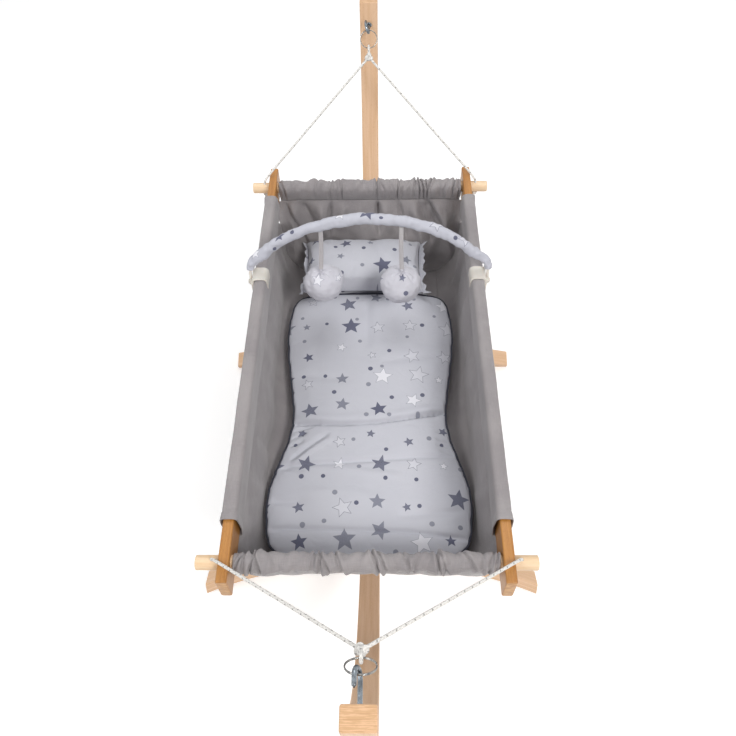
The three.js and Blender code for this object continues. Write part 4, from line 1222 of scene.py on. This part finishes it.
def sleeve_section(x, end, full):
    """The section of a gathered sleeve: an arch over its dowel, and a narrow part that hangs down."""
    hanging = ((7, 0.93), (14, 0.79), (20.5, 0.58), (26.5, 0.36), (32, 0.14))
    loose = crumple(Vector((x, 0, 7.0 * end)), 34 * mm, 3.8 * mm)
    section = []
    for turn in spread(math.pi / 2, -math.pi / 2, 32):
        size = full + loose + pinch_height(x, turn, end)
        size += crumple(Vector((x + 9 * mm * turn, turn * 12 * mm, 0)), 21 * mm, 5.6 * mm, end)
        if end < 0:
            crease_turn = 0.95 + 2.2 * wobble(x * 9, 0, 2)
            size += 1.7 * mm * bell(turn - crease_turn, 0.16)
        size = clamped(size, 13.3 * mm, 21.5 * mm)
        section.append((-size * math.sin(turn), size * math.cos(turn)))
    first = -section[0][0]
    last = section[-1][0]
    section += [(last * share, -depth * mm) for depth, share in hanging]
    section += [(-first * share, -depth * mm) for depth, share in reversed(hanging)]
    return section


def add_dowel_sleeve(end_name, end):
    full = 15.9 * mm if end > 0 else 15.3 * mm
    lean = end * math.atan2(5 * mm, 32 * mm)
    rows = []
    for x in spread(-gathered_half, gathered_half, 420):
        row = []
        for away, height in sleeve_section(x, end, full):
            y = away * math.cos(lean) + height * math.sin(lean)
            z = height * math.cos(lean) - away * math.sin(lean)
            row.append(Vector((x, end * dowel_y + y, dowel_z + z)))
        rows.append(row)
    add_sheet(f"gathered_sleeve_{end_name}", rows, 1.0 * mm, f"dowel_sleeve_{end_name}",
              around=True, flip=True)


end_folds = {
    1: [(-190, 168, -150, 60, 16, 6), (-165, 168, -118, 80, 10, -4), (-120, 170, -105, 90, 12, 4),
        (-60, 170, -72, 100, 10, 3), (20, 170, 16, 110, 6, -4), (34, 170, 50, 100, 11, 4),
        (100, 170, 128, 70, 13, 6), (128, 170, 160, 80, 8, -5), (150, 170, 200, 80, 12, 7),
        (196, 160, 130, 20, 14, 5), (-91, 174, -101, 85, 5, -5), (16, 174, 21, 95, 5, -5),
        (66, 174, 86, 80, 6, -5), (112, 174, 148, 70, 6, -6), (134, 174, 186, 85, 6, -6),
        (-200, 170, -150, 50, 6, -6)],
    -1: [(-170, 170, -185, 70, 12, 4), (-62, 170, -50, 90, 11, 4), (79, 170, 98, 80, 12, 4),
        (187, 170, 170, 60, 13, 4)]}


def end_panel_relief(x, z, down, end, depth):
    """How far an end wall stands in at a place, by its soft folds, its pinches and its creases."""
    middle = math.sin(down * math.pi)
    soft = drape(Vector((x, z * 0.32, 2.0 * end)), 62 * mm, depth, end) * middle ** 0.6
    soft += crumple(Vector((x + 0.5 * z, z, 1.0)), 26 * mm, 3.4 * mm, end) * middle
    opening = 1 + 2.5 * down
    for centre, width, strength in sleeve_pinches[end]:
        off = (x - centre * mm) / (width * mm * opening)
        if abs(off) < 3 and strength > 1.5:
            soft += 0.7 * mm * strength * math.exp(-off * off) * (1 - down) ** 2.5 * min(down * 9, 1)
    creases = folds_at(x, z - wall_bottom, end_folds[end])
    return soft + (3.0 - 2.0 * down) * creases * min(down * 8, 1)


def add_end_panel(end_name, end):
    """An end wall that hangs from its gathered sleeve and turns into the floor."""
    depth = 16 * mm if end > 0 else 5 * mm
    near_fillet = side_fillet(floor_half_length - 20 * mm)
    rows = []
    for row, down in enumerate(spread(0, 1, 60)):
        points = []
        for place in spread(-1, 1, 230):
            z, run = wall_down(down, end_wall_top + 1 * mm, end_fillet(place * floor_half_width))
            half = side_wall_x(z) - turned_in(z, near_fillet) + 1.0 * mm
            x = place * (gathered_half + 0.5 * mm if row < 2 else half)
            soft = end_panel_relief(x, z, down, end, depth) * min((1 - abs(place)) * 15, 1)
            y = end_wall_y(z) - end_bow(x) * down - run - soft * 0.9
            points.append(Vector((x, end * y, z)))
        rows.append(points)
    add_sheet(f"end_panel_cloth_{end_name}", rows, panel_thick, f"end_panel_{end_name}",
              flip=end > 0)


def add_bottom_panel():
    overlap = 7 * mm
    rows = []
    for along in spread(-1, 1, 80):
        points = []
        for across in spread(-1, 1, 40):
            near_x = across * floor_half_width * 0.85
            y = along * (floor_half_length - end_bow(near_x) - end_fillet(near_x) + overlap)
            x = across * (floor_half_width - side_fillet(y) + overlap)
            drop = 2.2 * mm * (1 - across ** 4) * (1 - along ** 4)
            z = basket_floor - 1.3 * mm - drop + crumple(Vector((x, y, 0)), 70 * mm, 1.2 * mm)
            points.append(Vector((x, y, z)))
        rows.append(points)
    add_sheet("bottom_panel_cloth", rows, panel_thick, "bottom_panel",
              flip=True)


# Mattress and pillow
def fill_with_wadding(piece, voxel, most):
    """Swells a closed cover by cloth simulation, and moves no point further than the most."""
    remesh = piece.modifiers.new("even_faces", "REMESH")
    remesh.mode = "VOXEL"
    remesh.voxel_size = voxel
    remesh.use_smooth_shade = True
    mesh = applied(piece)
    moments = 20
    starts = [vertex.co.copy() for vertex in mesh.vertices]
    cover = piece.modifiers.new("cover", "CLOTH")
    cover.settings.quality = 5
    cover.settings.use_pressure = True
    cover.settings.uniform_pressure_force = 4
    cover.settings.effector_weights.gravity = 0
    cover.collision_settings.use_collision = False
    cover.point_cache.frame_start = 1
    cover.point_cache.frame_end = moments
    for moment in range(1, moments + 1):
        bpy.context.scene.frame_set(moment)
    swollen = applied(piece)
    for vertex, start in zip(swollen.vertices, starts):
        move = vertex.co - start
        if move.length > most:
            vertex.co = start + move * (most / move.length)
    bpy.context.scene.frame_set(1)
    finer = piece.modifiers.new("finer_faces", "SUBSURF")
    finer.levels = 1
    finer.render_levels = 1
    mesh = applied(piece)
    for polygon in mesh.polygons:
        polygon.use_smooth = True
    return mesh


def cushion_rows(half_width, bottom, thick, edge_share):
    """Sections of the mattress from end to end, with its seam at a share of its height."""
    across_steps = 56
    edge = bottom + thick * edge_share
    rows = []
    for place in spread(0, 1, 150):
        place = place - math.sin(place * math.tau) * 0.03
        half = half_width * share_at(mattress_shares, place)
        from_end = min(place, 1 - place)
        swell = math.sqrt(min(from_end / 0.08 + 0.25, 1))
        low = bottom + thick * 0.22 * max(1 - from_end / 0.03, 0) ** 2
        top = edge + (bottom + thick - edge) * swell
        row = []
        for turn in spread(0, math.pi, across_steps):
            row.append((half * math.cos(turn), place, edge + (top - edge) * math.sin(turn) ** 0.55))
        for turn in spread(math.pi, math.tau, across_steps // 2)[1:-1]:
            sink = (edge - low) * max(math.sin(turn) * 2.0, -1)
            row.append((half * math.cos(turn), place, edge + sink))
        rows.append(row)
    return rows


waist_fold = [
    (-0.190, -0.092), (-0.153, -0.090), (-0.060, -0.096), (0.012, -0.093), (0.100, -0.076),
    (0.190, -0.056)]
mattress_folds = [
    (-178, -193, 6, -181, 6, -3.2), (6, -181, 186, -168, 6, -2.6), (-189, -322, 77, -332, 5, -3.4),
    (77, -332, 190, -343, 5, -3.4), (-86, -120, -153, -174, 6, -3), (-78, -132, -150, -186, 7, 2.4),
    (-160, -108, -118, -101, 4, -2.6), (-160, -128, -128, -114, 4, -2.6),
    (-164, -145, -136, -136, 4, -2.4), (-172, -196, -130, -204, 4, -2),
    (164, -133, 136, -129, 4, -2.4), (168, -149, 138, -143, 4, -2.4),
    (172, -165, 142, -156, 4, -2.2), (168, -116, 140, -112, 4, -2), (59, -300, 175, -288, 8, -2.2),
    (-190, -266, -125, -272, 8, -2.2), (-7, 237, -5, 105, 12, -2.2), (-66, -200, 60, -217, 9, 1.8),
    (-150, 30, -40, 12, 12, -1.6), (30, 60, 150, 80, 12, -1.6), (-120, -250, 20, -262, 12, 1.6)]


def waist_step(x, y):
    """The head side of the mattress pushes over its foot side at the waist."""
    for (ax, ay), (bx, by) in zip(waist_fold, waist_fold[1:]):
        if ax <= x <= bx:
            away = y - (ay + (by - ay) * (x - ax) / (bx - ax))
            fade = 0.75 + 0.25 * min(abs(x) / 0.15, 1)
            height = -8.5 * bell(away, 0.0036)
            if away < 0:
                height -= 7.5 * math.exp(away / 0.024)
            else:
                height += 4.0 * bell(away - 0.01, 0.01)
            return height * mm * fade
    return 0.0


def add_mattress():
    bottom = basket_floor + fit_gap
    edge_share = 0.64
    swell = 3.5 * mm
    widest = 202 * mm
    pillow_front = 236 * mm
    length = mattress_length - 2 * swell
    rows = [
        [Vector((x, (place - 0.5) * length, z)) for x, place, z in row]
        for row in cushion_rows(205 * mm - swell, bottom + swell, mattress_thick - 2 * swell, edge_share)]
    piece = grid_piece("mattress_pad", rows, around=True, caps=True)
    mesh = fill_with_wadding(piece, 5.5 * mm, 1.5 * swell)
    edge = bottom + mattress_thick * edge_share
    for vertex in mesh.vertices:
        point = vertex.co
        upper = clamped((point.z - edge) / (14 * mm))
        if upper > 0:
            from_edge = max(mattress_outline(point.y) - abs(point.x), 0)
            pucker = wobble(point.y / (11 * mm), 3 if point.x > 0 else 0, 0)
            rise = crumple(point, 95 * mm, 2.6 * mm) + crumple(point, 36 * mm, 1.1 * mm, 3) - 1.2 * mm
            rise += 2.2 * mm * pucker * math.exp(-from_edge / (16 * mm))
            rise += waist_step(point.x, point.y)
            rise += 1.9 * folds_at(point.x, point.y, mattress_folds, 0.85)
            rise -= 6 * mm * clamped((point.y - 253 * mm) / (10 * mm))
            point.z += rise * upper
        top = mattress_top + (-0.5 * mm if point.y > pillow_front else 3 * mm)
        point.z = clamped(point.z, bottom, top)
        point.x = clamped(point.x, -widest, widest)
    mesh.update()
    place_piece(piece, "cradle", cloth_print, "printed_cloth", "mattress")
    add_mattress_piping(mesh, edge)


def piping_line():
    """The seam round the mattress, seen from above."""
    head_y = 252 * mm
    foot_y = -mattress_length / 2
    half = [Vector((mattress_outline(foot_y) * share, foot_y, 0)) for share in (0, 0.3, 0.6, 0.85)]
    half += [Vector((mattress_outline(y), y, 0)) for y in spread(foot_y, head_y - 7 * mm, 150)]
    corner = half[-1]
    for share, lift in ((0.97, 5), (0.92, 9), (0.83, 11), (0.7, 10), (0.5, 8), (0.25, 7)):
        half.append(Vector((corner.x * share, corner.y + lift * mm, 0)))
    half.append(Vector((0, head_y + 1 * mm, 0)))
    return half + [Vector((-point.x, point.y, 0)) for point in reversed(half[1:-1])]


def add_mattress_piping(mesh, edge):
    """A dark cord in the seam round the mattress, which crosses it in front of the pillow."""
    surface = BVHTree.FromPolygons(
        [vertex.co for vertex in mesh.vertices], [tuple(polygon.vertices) for polygon in mesh.polygons])
    line = piping_line()
    path = []
    for i, point in enumerate(line):
        ahead = line[(i + 1) % len(line)] - line[i - 1]
        outward = Vector((ahead.y, -ahead.x, 0)).normalized()
        climb = clamped((point.y - 226 * mm) / (26 * mm))
        way = (outward + Vector((0, 0, 1)) * climb * 2.2).normalized()
        target = Vector((point.x, point.y, edge + 10 * mm * climb))
        hit, normal = surface.ray_cast(target + way * 60 * mm, -way)[:2]
        if hit:
            path.append(hit + normal * 1.2 * mm)
    path.append(path[0])
    smooth = [path[0]]
    smooth += [(before + point * 2 + after) / 4 for before, point, after in zip(path, path[1:], path[2:])]
    smooth.append(path[0])
    piping = tube_piece("mattress_piping", smooth, 2.6 * mm, 10, first_side=(0, 0, 1), caps=False)
    place_piece(piping, "cradle", cloth_piping, "printed_cloth")


pillow_middle = Vector((-17, 326, 0)) * mm
pillow_half_width = 146 * mm
pillow_half_depth = 85 * mm
pillow_folds = [
    (-140, -78, -85, -40, 7, 3.5), (-138, -60, -95, -30, 5, -3), (140, -78, 90, -38, 7, 3.5),
    (138, -58, 100, -26, 5, -3), (-140, 78, -90, 40, 7, 3.5), (-125, 80, -78, 45, 5, -3),
    (140, 78, 88, 40, 7, 3.5), (128, 80, 80, 40, 5, -3), (20, 60, 50, -20, 12, -3),
    (-60, 65, -50, 10, 10, -2.4), (75, -70, 60, -20, 7, -2.4), (-30, -75, -20, -30, 7, -2.2)]


def pillow_edge(across, along):
    """The place on the pillow's outline, whose sides pull in between its pointed corners."""
    pull_x = 1 - 0.055 * (1 - abs(along) ** 3)
    pull_y = 1 - 0.075 * (1 - abs(across) ** 4)
    return across * pillow_half_width * pull_x, along * pillow_half_depth * pull_y


def pillow_rows(edge, rise):
    """The upper sheet of the pillow and then its lower one, from rim to rim."""
    count = 44
    rows = []
    for level in (1, -1):
        for j in range(count + 1):
            along = math.sin((j / count - 0.5) * math.pi) * level
            row = []
            for i in range(count * 2 + 1):
                across = math.sin((i / count / 2 - 0.5) * math.pi)
                x, y = pillow_edge(across, along)
                full = max((1 - abs(across) ** 3.2) * (1 - abs(along) ** 2.6), 0) ** 0.5
                height = 3.6 * mm + (rise if level > 0 else 10 * mm) * full
                row.append(Vector((x * 0.985, y * 0.98, edge + level * height)) + pillow_middle)
            rows.append(row)
    rows.append(rows[0])
    return rows


def pillow_seam(side, edge):
    """The ruffled flap of cloth along one end of the pillow."""
    flap = 13 * mm if side > 0 else 8 * mm
    rows = []
    for along in spread(-1, 1, 90):
        x, y = pillow_edge(side, along * 0.97)
        ruffle = wobble(along * 5, side * 3, 0.5)
        shift = 2 * mm * wobble(along * 14, 2, side)
        lift = 7 * ruffle + 1.2 * wobble(along * 16, 4, side)
        width = flap * (1 + 0.5 * abs(along) ** 8) * (0.75 + 0.6 * ruffle)
        rows.append([
            pillow_middle + Vector((
                x * 0.955 + side * width * out, y * (1 + 0.02 * out) + shift * out,
                edge + (3 * out + lift * out ** 1.3) * mm))
            for out in spread(0, 1, 4)])
    strip = grid_piece(f"pillow_seam_{side}", rows)
    thicken(strip, 1.4 * mm, 0)
    applied(strip)
    return strip


def add_pillow():
    bottom = mattress_top + fit_gap
    edge = bottom + 14 * mm
    swell = 3.5 * mm
    piece = closed_cover("pillow_pad", pillow_rows(edge, 42 * mm - swell))
    mesh = fill_with_wadding(piece, 4.5 * mm, 1.6 * swell)
    for vertex in mesh.vertices:
        point = vertex.co
        x, y = point.x - pillow_middle.x, point.y - pillow_middle.y
        upper = clamped((point.z - edge + 4 * mm) / (12 * mm))
        inside = max(min(pillow_half_width - abs(x), pillow_half_depth - abs(y)), 0)
        pucker = wobble(x / (13 * mm), y / (13 * mm), 9)
        rise = crumple(point, 62 * mm, 5 * mm, 5) + crumple(point, 28 * mm, 1.4 * mm, 7)
        rise += 2.4 * mm * pucker * math.exp(-inside / (14 * mm)) + folds_at(x, y, pillow_folds)
        point.z = clamped(point.z + rise * upper, bottom, bottom + 62 * mm)
    mesh.update()
    pillow = joined("pillow_pad", [piece, pillow_seam(-1, edge), pillow_seam(1, edge)])
    place_piece(pillow, "cradle", cloth_print, "printed_cloth", "pillow")


def closed_cover(name, rows):
    """A cover from an upper and a lower sheet that meet along their rims."""
    size = len(rows[0])
    last = size - 1
    count = len(rows) - 1
    points = [point for row in rows[:-1] for point in row]
    faces = []
    for row in range(count):
        after = (row + 1) % count
        for i in range(last):
            faces.append([row * size + i, after * size + i, after * size + i + 1, row * size + i + 1])
    for row in range(count // 2 - 1):
        upper, upper_after = row * size, (row + 1) * size
        lower, lower_after = (count - 1 - row) * size, (count - 2 - row) * size
        faces.append([upper, lower, lower_after, upper_after])
        faces.append([upper + last, upper_after + last, lower_after + last, lower + last])
    piece = new_piece(name, points, faces)
    mesh = bmesh.new()
    mesh.from_mesh(piece.data)
    bmesh.ops.recalc_face_normals(mesh, faces=mesh.faces)
    mesh.to_mesh(piece.data)
    mesh.free()
    return piece


# The toy bar
bar_shares = [
    (1, 0), (1, 0.12), (1, 0.24), (0.97, 0.33), (0.865, 0.47), (0.715, 0.675), (0.51, 0.84),
    (0.27, 0.955)]
clip_y = 148 * mm
pivot_z = rail_z + sleeve_half_height + 3.3 * mm - 22 * mm
eye_x = rail_x + 12.2 * mm + 5 * mm + 0.6 * mm + 3 * mm
bar_lean = math.radians(17.8)
bar_rise = 137 * mm
clip_inside = 12.5
clip_bend = 7.0
clip_half_length = 17
clip_wall = 3
clip_outer_wall = 5


def bar_point(across, up):
    return Vector((across, clip_y + up * math.sin(bar_lean), pivot_z + up * math.cos(bar_lean)))


def bar_path():
    half = [bar_point(x * eye_x, up * bar_rise) for x, up in bar_shares]
    other = [Vector((-p.x, p.y, p.z)) for p in reversed(half)]
    return smooth_path([*half, bar_point(0, bar_rise), *other], 22)


def clip_rib(thick, half_length):
    """The section of a clip's wall: its length and height, with a raised rounded lip at each end."""
    lip = ((1.4, -thick), (0.4, 0.4 - thick), (0, 1.2 - thick), (0, -0.2), (0.3, 0.5), (1.1, 0.8),
           (2.1, 0.6), (2.9, 0.1), (3.6, 0))
    half = [(half_length - inward, thick + raised) for inward, raised in lip]
    return half + [(-y, height) for y, height in reversed(half)]


def clip_bend_places(sign, first_turn, last_turn, first_wall, last_wall):
    """Places round one upper corner of a clip, with the way out and the thickness of its wall."""
    top = (sleeve_half_height + fit_gap) / mm
    places = []
    for share in spread(0, 1, 8):
        turn = first_turn + (last_turn - first_turn) * share
        away_x, away_z = math.cos(turn), math.sin(turn)
        across = sign * (clip_inside - clip_bend) + clip_bend * away_x
        up = top - clip_bend + clip_bend * away_z
        wall = first_wall + (last_wall - first_wall) * share
        places.append((across, up, away_x, away_z, wall, clip_half_length))
    return places


def add_clip(side_name, side):
    """A saddle over the rail, with a short inner leg and a longer, thicker outer one."""
    top = (sleeve_half_height + fit_gap) / mm
    inner = ((24, 2.6, 16.2), (23, 3.1, 16.8), (18, clip_wall, clip_half_length),
             (12, clip_wall, clip_half_length))
    outer = ((14, clip_outer_wall, clip_half_length), (24, clip_outer_wall, clip_half_length),
             (35, clip_outer_wall, clip_half_length), (36, 4.4, 16.4))
    places = [(-clip_inside, top - low, -1, 0, wall, half_length) for low, wall, half_length in inner]
    places += clip_bend_places(-1, math.pi, math.pi / 2, clip_wall, clip_wall)
    places += clip_bend_places(1, math.pi / 2, 0, clip_wall, clip_outer_wall)
    places += [(clip_inside, top - low, 1, 0, wall, half_length) for low, wall, half_length in outer]
    rows = []
    for across, up, out_x, out_z, wall, half_length in places:
        row = []
        for y, height in clip_rib(wall, half_length):
            x = rail_x + (across + out_x * height) * mm
            row.append(Vector((side * x, clip_y + y * mm, rail_z + (up + out_z * height) * mm)))
        rows.append(row)
    piece = grid_piece(f"bar_clip_shell_{side_name}", rows, around=True, caps=True, flip=side < 0)
    place_piece(piece, "toy_clips", plastic_ivory, "ivory_plastic", f"bar_clip_{side_name}")


def add_bar_sleeve():
    """A gathered cloth tube over the bar, bunched near its ends."""
    path = bar_path()
    lengths = [0.0]
    for a, b in zip(path, path[1:]):
        lengths.append(lengths[-1] + (b - a).length)
    total = lengths[-1]
    normal = Vector((0, math.cos(bar_lean), -math.sin(bar_lean)))
    rows = []
    start = 28 * mm
    j = 0
    for along in spread(start, total - start, 260):
        while lengths[j + 1] < along:
            j += 1
        t = (along - lengths[j]) / (lengths[j + 1] - lengths[j])
        point = path[j].lerp(path[j + 1], t)
        outward = normal.cross((path[j + 1] - path[j]).normalized()).normalized()
        from_end = min(along - start, total - start - along)
        bunch = 1.0 if from_end < 90 * mm else 0.6
        droop = 4.5 * mm * max(wobble(along / (38 * mm), 5.3, 0), 0)
        narrow = 4.6 * mm * max(1 - from_end / (48 * mm), 0) ** 1.5
        ring = []
        for turn in turns(28):
            up, aside = math.cos(turn), math.sin(turn)
            ripple = wobble(along / (9 * mm) + 0.8 * aside, up * 0.8, aside * 0.8)
            slow = wobble(along / (40 * mm), up * 0.6 + 4, aside * 0.6)
            size = 10.8 * mm + 3.0 * mm * ripple * bunch + 3.2 * mm * slow + droop * max(-up, 0)
            size = max(size - narrow, 6.0 * mm)
            ring.append(point + outward * size * up + normal * size * aside)
        rows.append(ring)
    piece = grid_piece("bar_sleeve_cloth", rows, around=True)
    thicken(piece, 1.2 * mm)
    place_piece(piece, "toy_bar", cloth_print_bar, "printed_cloth", "toy_bar_sleeve")
    flat_size(rows, True)


def add_ribbon(name, across, swing, neck_shift):
    low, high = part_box(f"toy_ribbon_{name}")
    middle_y = (low.y + high.y) / 2
    rows = []
    for share in spread(0, 1, 30):
        bow = 2.2 * mm * math.sin(share * math.pi) * swing
        twist = 0.25 * math.sin(share * math.pi) * swing
        x = across + neck_shift * (1.7 * share - 0.7) + bow * 0.4
        z = high.z - (high.z - low.z) * share
        rows.append([
            Vector((x + off * math.cos(twist), middle_y + off * math.sin(twist) + bow, z))
            for off in spread(-4.5 * mm, 4.5 * mm, 4)])
    ribbon = grid_piece(f"ribbon_strip_{name}", rows)
    thicken(ribbon, 0.9 * mm, 0)
    place_piece(ribbon, f"toy_{name}", cloth_ribbon, "ribbon_cloth", f"toy_ribbon_{name}")


def add_ball(name, across, swing, neck_shift, radius):
    """A stuffed ball, lumpy and a little flat, gathered into a neck on top."""
    low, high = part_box(f"toy_ball_{name}")
    centre = Vector((across, (low.y + high.y) / 2, low.z + 39 * mm))
    rows = []
    for share in spread(0, 1, 60):
        fall = math.pi * (0.035 + 0.93 * share)
        drawn = neck_shift * bell(fall, 0.7)
        row = []
        for turn in turns(72):
            pleats = 0.045 * math.sin(9 * turn + 2 * swing) + 0.03 * math.sin(14 * turn)
            ripple = bell(fall, 0.5) * pleats
            round_way = math.sin(fall)
            way = Vector((round_way * math.cos(turn), round_way * math.sin(turn), math.cos(fall)))
            lump = 0.09 * noise.noise(way * 1.5 + Vector((swing, 0, 2))) + 0.045 * noise.noise(way * 4.5)
            size = radius * (0.97 + ripple + lump)
            flat = 0.84 if way.z > 0 else 0.86
            row.append(centre + Vector((way.x * size + drawn, way.y * size, way.z * size * flat)))
        rows.append(row)
    neck = rows[0]
    top = sum(neck, Vector()) / len(neck)
    for rise, share in ((2, 0.75), (4, 0.62), (7, 0.9), (8, 0.8)):
        rows.insert(0, [
            Vector((top.x + (p.x - top.x) * share, top.y + (p.y - top.y) * share, top.z + rise * mm))
            for p in neck])
    ball = grid_piece(f"stuffed_ball_{name}", rows, around=True, caps=True, flip=True)
    place_piece(ball, f"toy_{name}", cloth_ball, "ball_cloth", f"toy_ball_{name}")


def finish_carried_nodes():
    """Pins, rod, bolts and nuts keep their shapes, with softened edges and real finishes."""
    for name, node in nodes.items():
        if name.startswith(("clip_pin", "toy_bar_rod")):
            material = plastic_ivory
        elif "_bolt_" in name or "_nut_" in name:
            material = steel_zinc
        else:
            continue
        node.data.materials.clear()
        node.data.materials.append(material)
        soften_edges(node, 0.4 * mm, 40)


for end_name, end in ends:
    for side_name, side in sides:
        add_cord_leg(end_name, end, side_name, side)
    add_ring_knot(end_name, end)
for end_name, end in ends:
    add_ring(end_name, end)
    add_hook(end_name, end)
for add_at_end in (add_beam, add_foot, add_dowel):
    for end_name, end in ends:
        add_at_end(end_name, end)
for add_at_side in (add_rail, add_rail_sleeve, add_side_panel):
    for side_name, side in sides:
        add_at_side(side_name, side)
for add_at_end in (add_dowel_sleeve, add_end_panel):
    for end_name, end in ends:
        add_at_end(end_name, end)
add_bottom_panel()
add_mattress()
add_pillow()
for side_name, side in sides:
    add_clip(side_name, side)
add_bar_sleeve()
for toy in (("left", -97 * mm, 1, -4 * mm), ("right", 67 * mm, -1, 2 * mm)):
    add_ribbon(*toy)
    add_ball(*toy, 45 * mm if toy[0] == "right" else 43 * mm)
finish_carried_nodes()


# Floor, lamps and sky
def seen_directly(w, also="Is Camera Ray"):
    """One for rays from the camera, from a shiny surface or of one more kind, and zero for others."""
    rays = w.outputs(w.node("ShaderNodeLightPath"))
    seen = w.math("MAXIMUM", rays["Is Camera Ray"], rays["Is Glossy Ray"])
    return w.math("MAXIMUM", seen, rays[also])


def add_floor():
    rows = [[Vector((x, y, -0.5 * mm)) for x in (-9.0, 0.0, 9.0)] for y in (-9.0, 0.0, 9.0)]
    floor = grid_piece("studio_floor", rows, flip=True)
    material, w, shader = new_material("studio_floor")
    seen = seen_directly(w)
    w.feed(shader, {
        "Base Color": (0.86, 0.86, 0.86, 1), "Roughness": 0.9, "Specular IOR Level": 0.1,
        "Emission Color": (1, 1, 1, 1), "Emission Strength": seen * 0.35})
    floor.data.materials.append(material)


def add_lamp(name, place, aim, size, power, tint=(1, 1, 1)):
    data = bpy.data.lights.new(name, "AREA")
    data.shape = "DISK"
    data.size = size
    data.energy = power
    data.color = tint
    lamp = bpy.data.objects.new(name, data)
    lamp.location = place
    lamp.rotation_euler = (Vector(aim) - Vector(place)).to_track_quat("-Z", "Y").to_euler()
    bpy.context.scene.collection.objects.link(lamp)


def add_sky():
    world = bpy.data.worlds.new("studio")
    world.use_nodes = True
    bpy.context.scene.world = world
    w = Wiring(world.node_tree)
    seen = seen_directly(w, "Is Transmission Ray")
    w.feed(world.node_tree.nodes["Background"].inputs, {
        "Color": (1, 1, 1, 1), "Strength": seen * 0.53 + 0.47})


bpy.context.scene.view_settings.view_transform = "Standard"
add_floor()
add_sky()
add_lamp("key_lamp", (1.5, -2.2, 3.2), (0, 0, 0.4), 1.2, 76, (1.0, 0.985, 0.965))
add_lamp("fill_lamp", (-2.4, -1.2, 2.6), (0, 0, 0.4), 2.0, 34)
add_lamp("top_lamp", (0.2, 1.6, 3.4), (0, 0.2, 0.3), 2.0, 28)
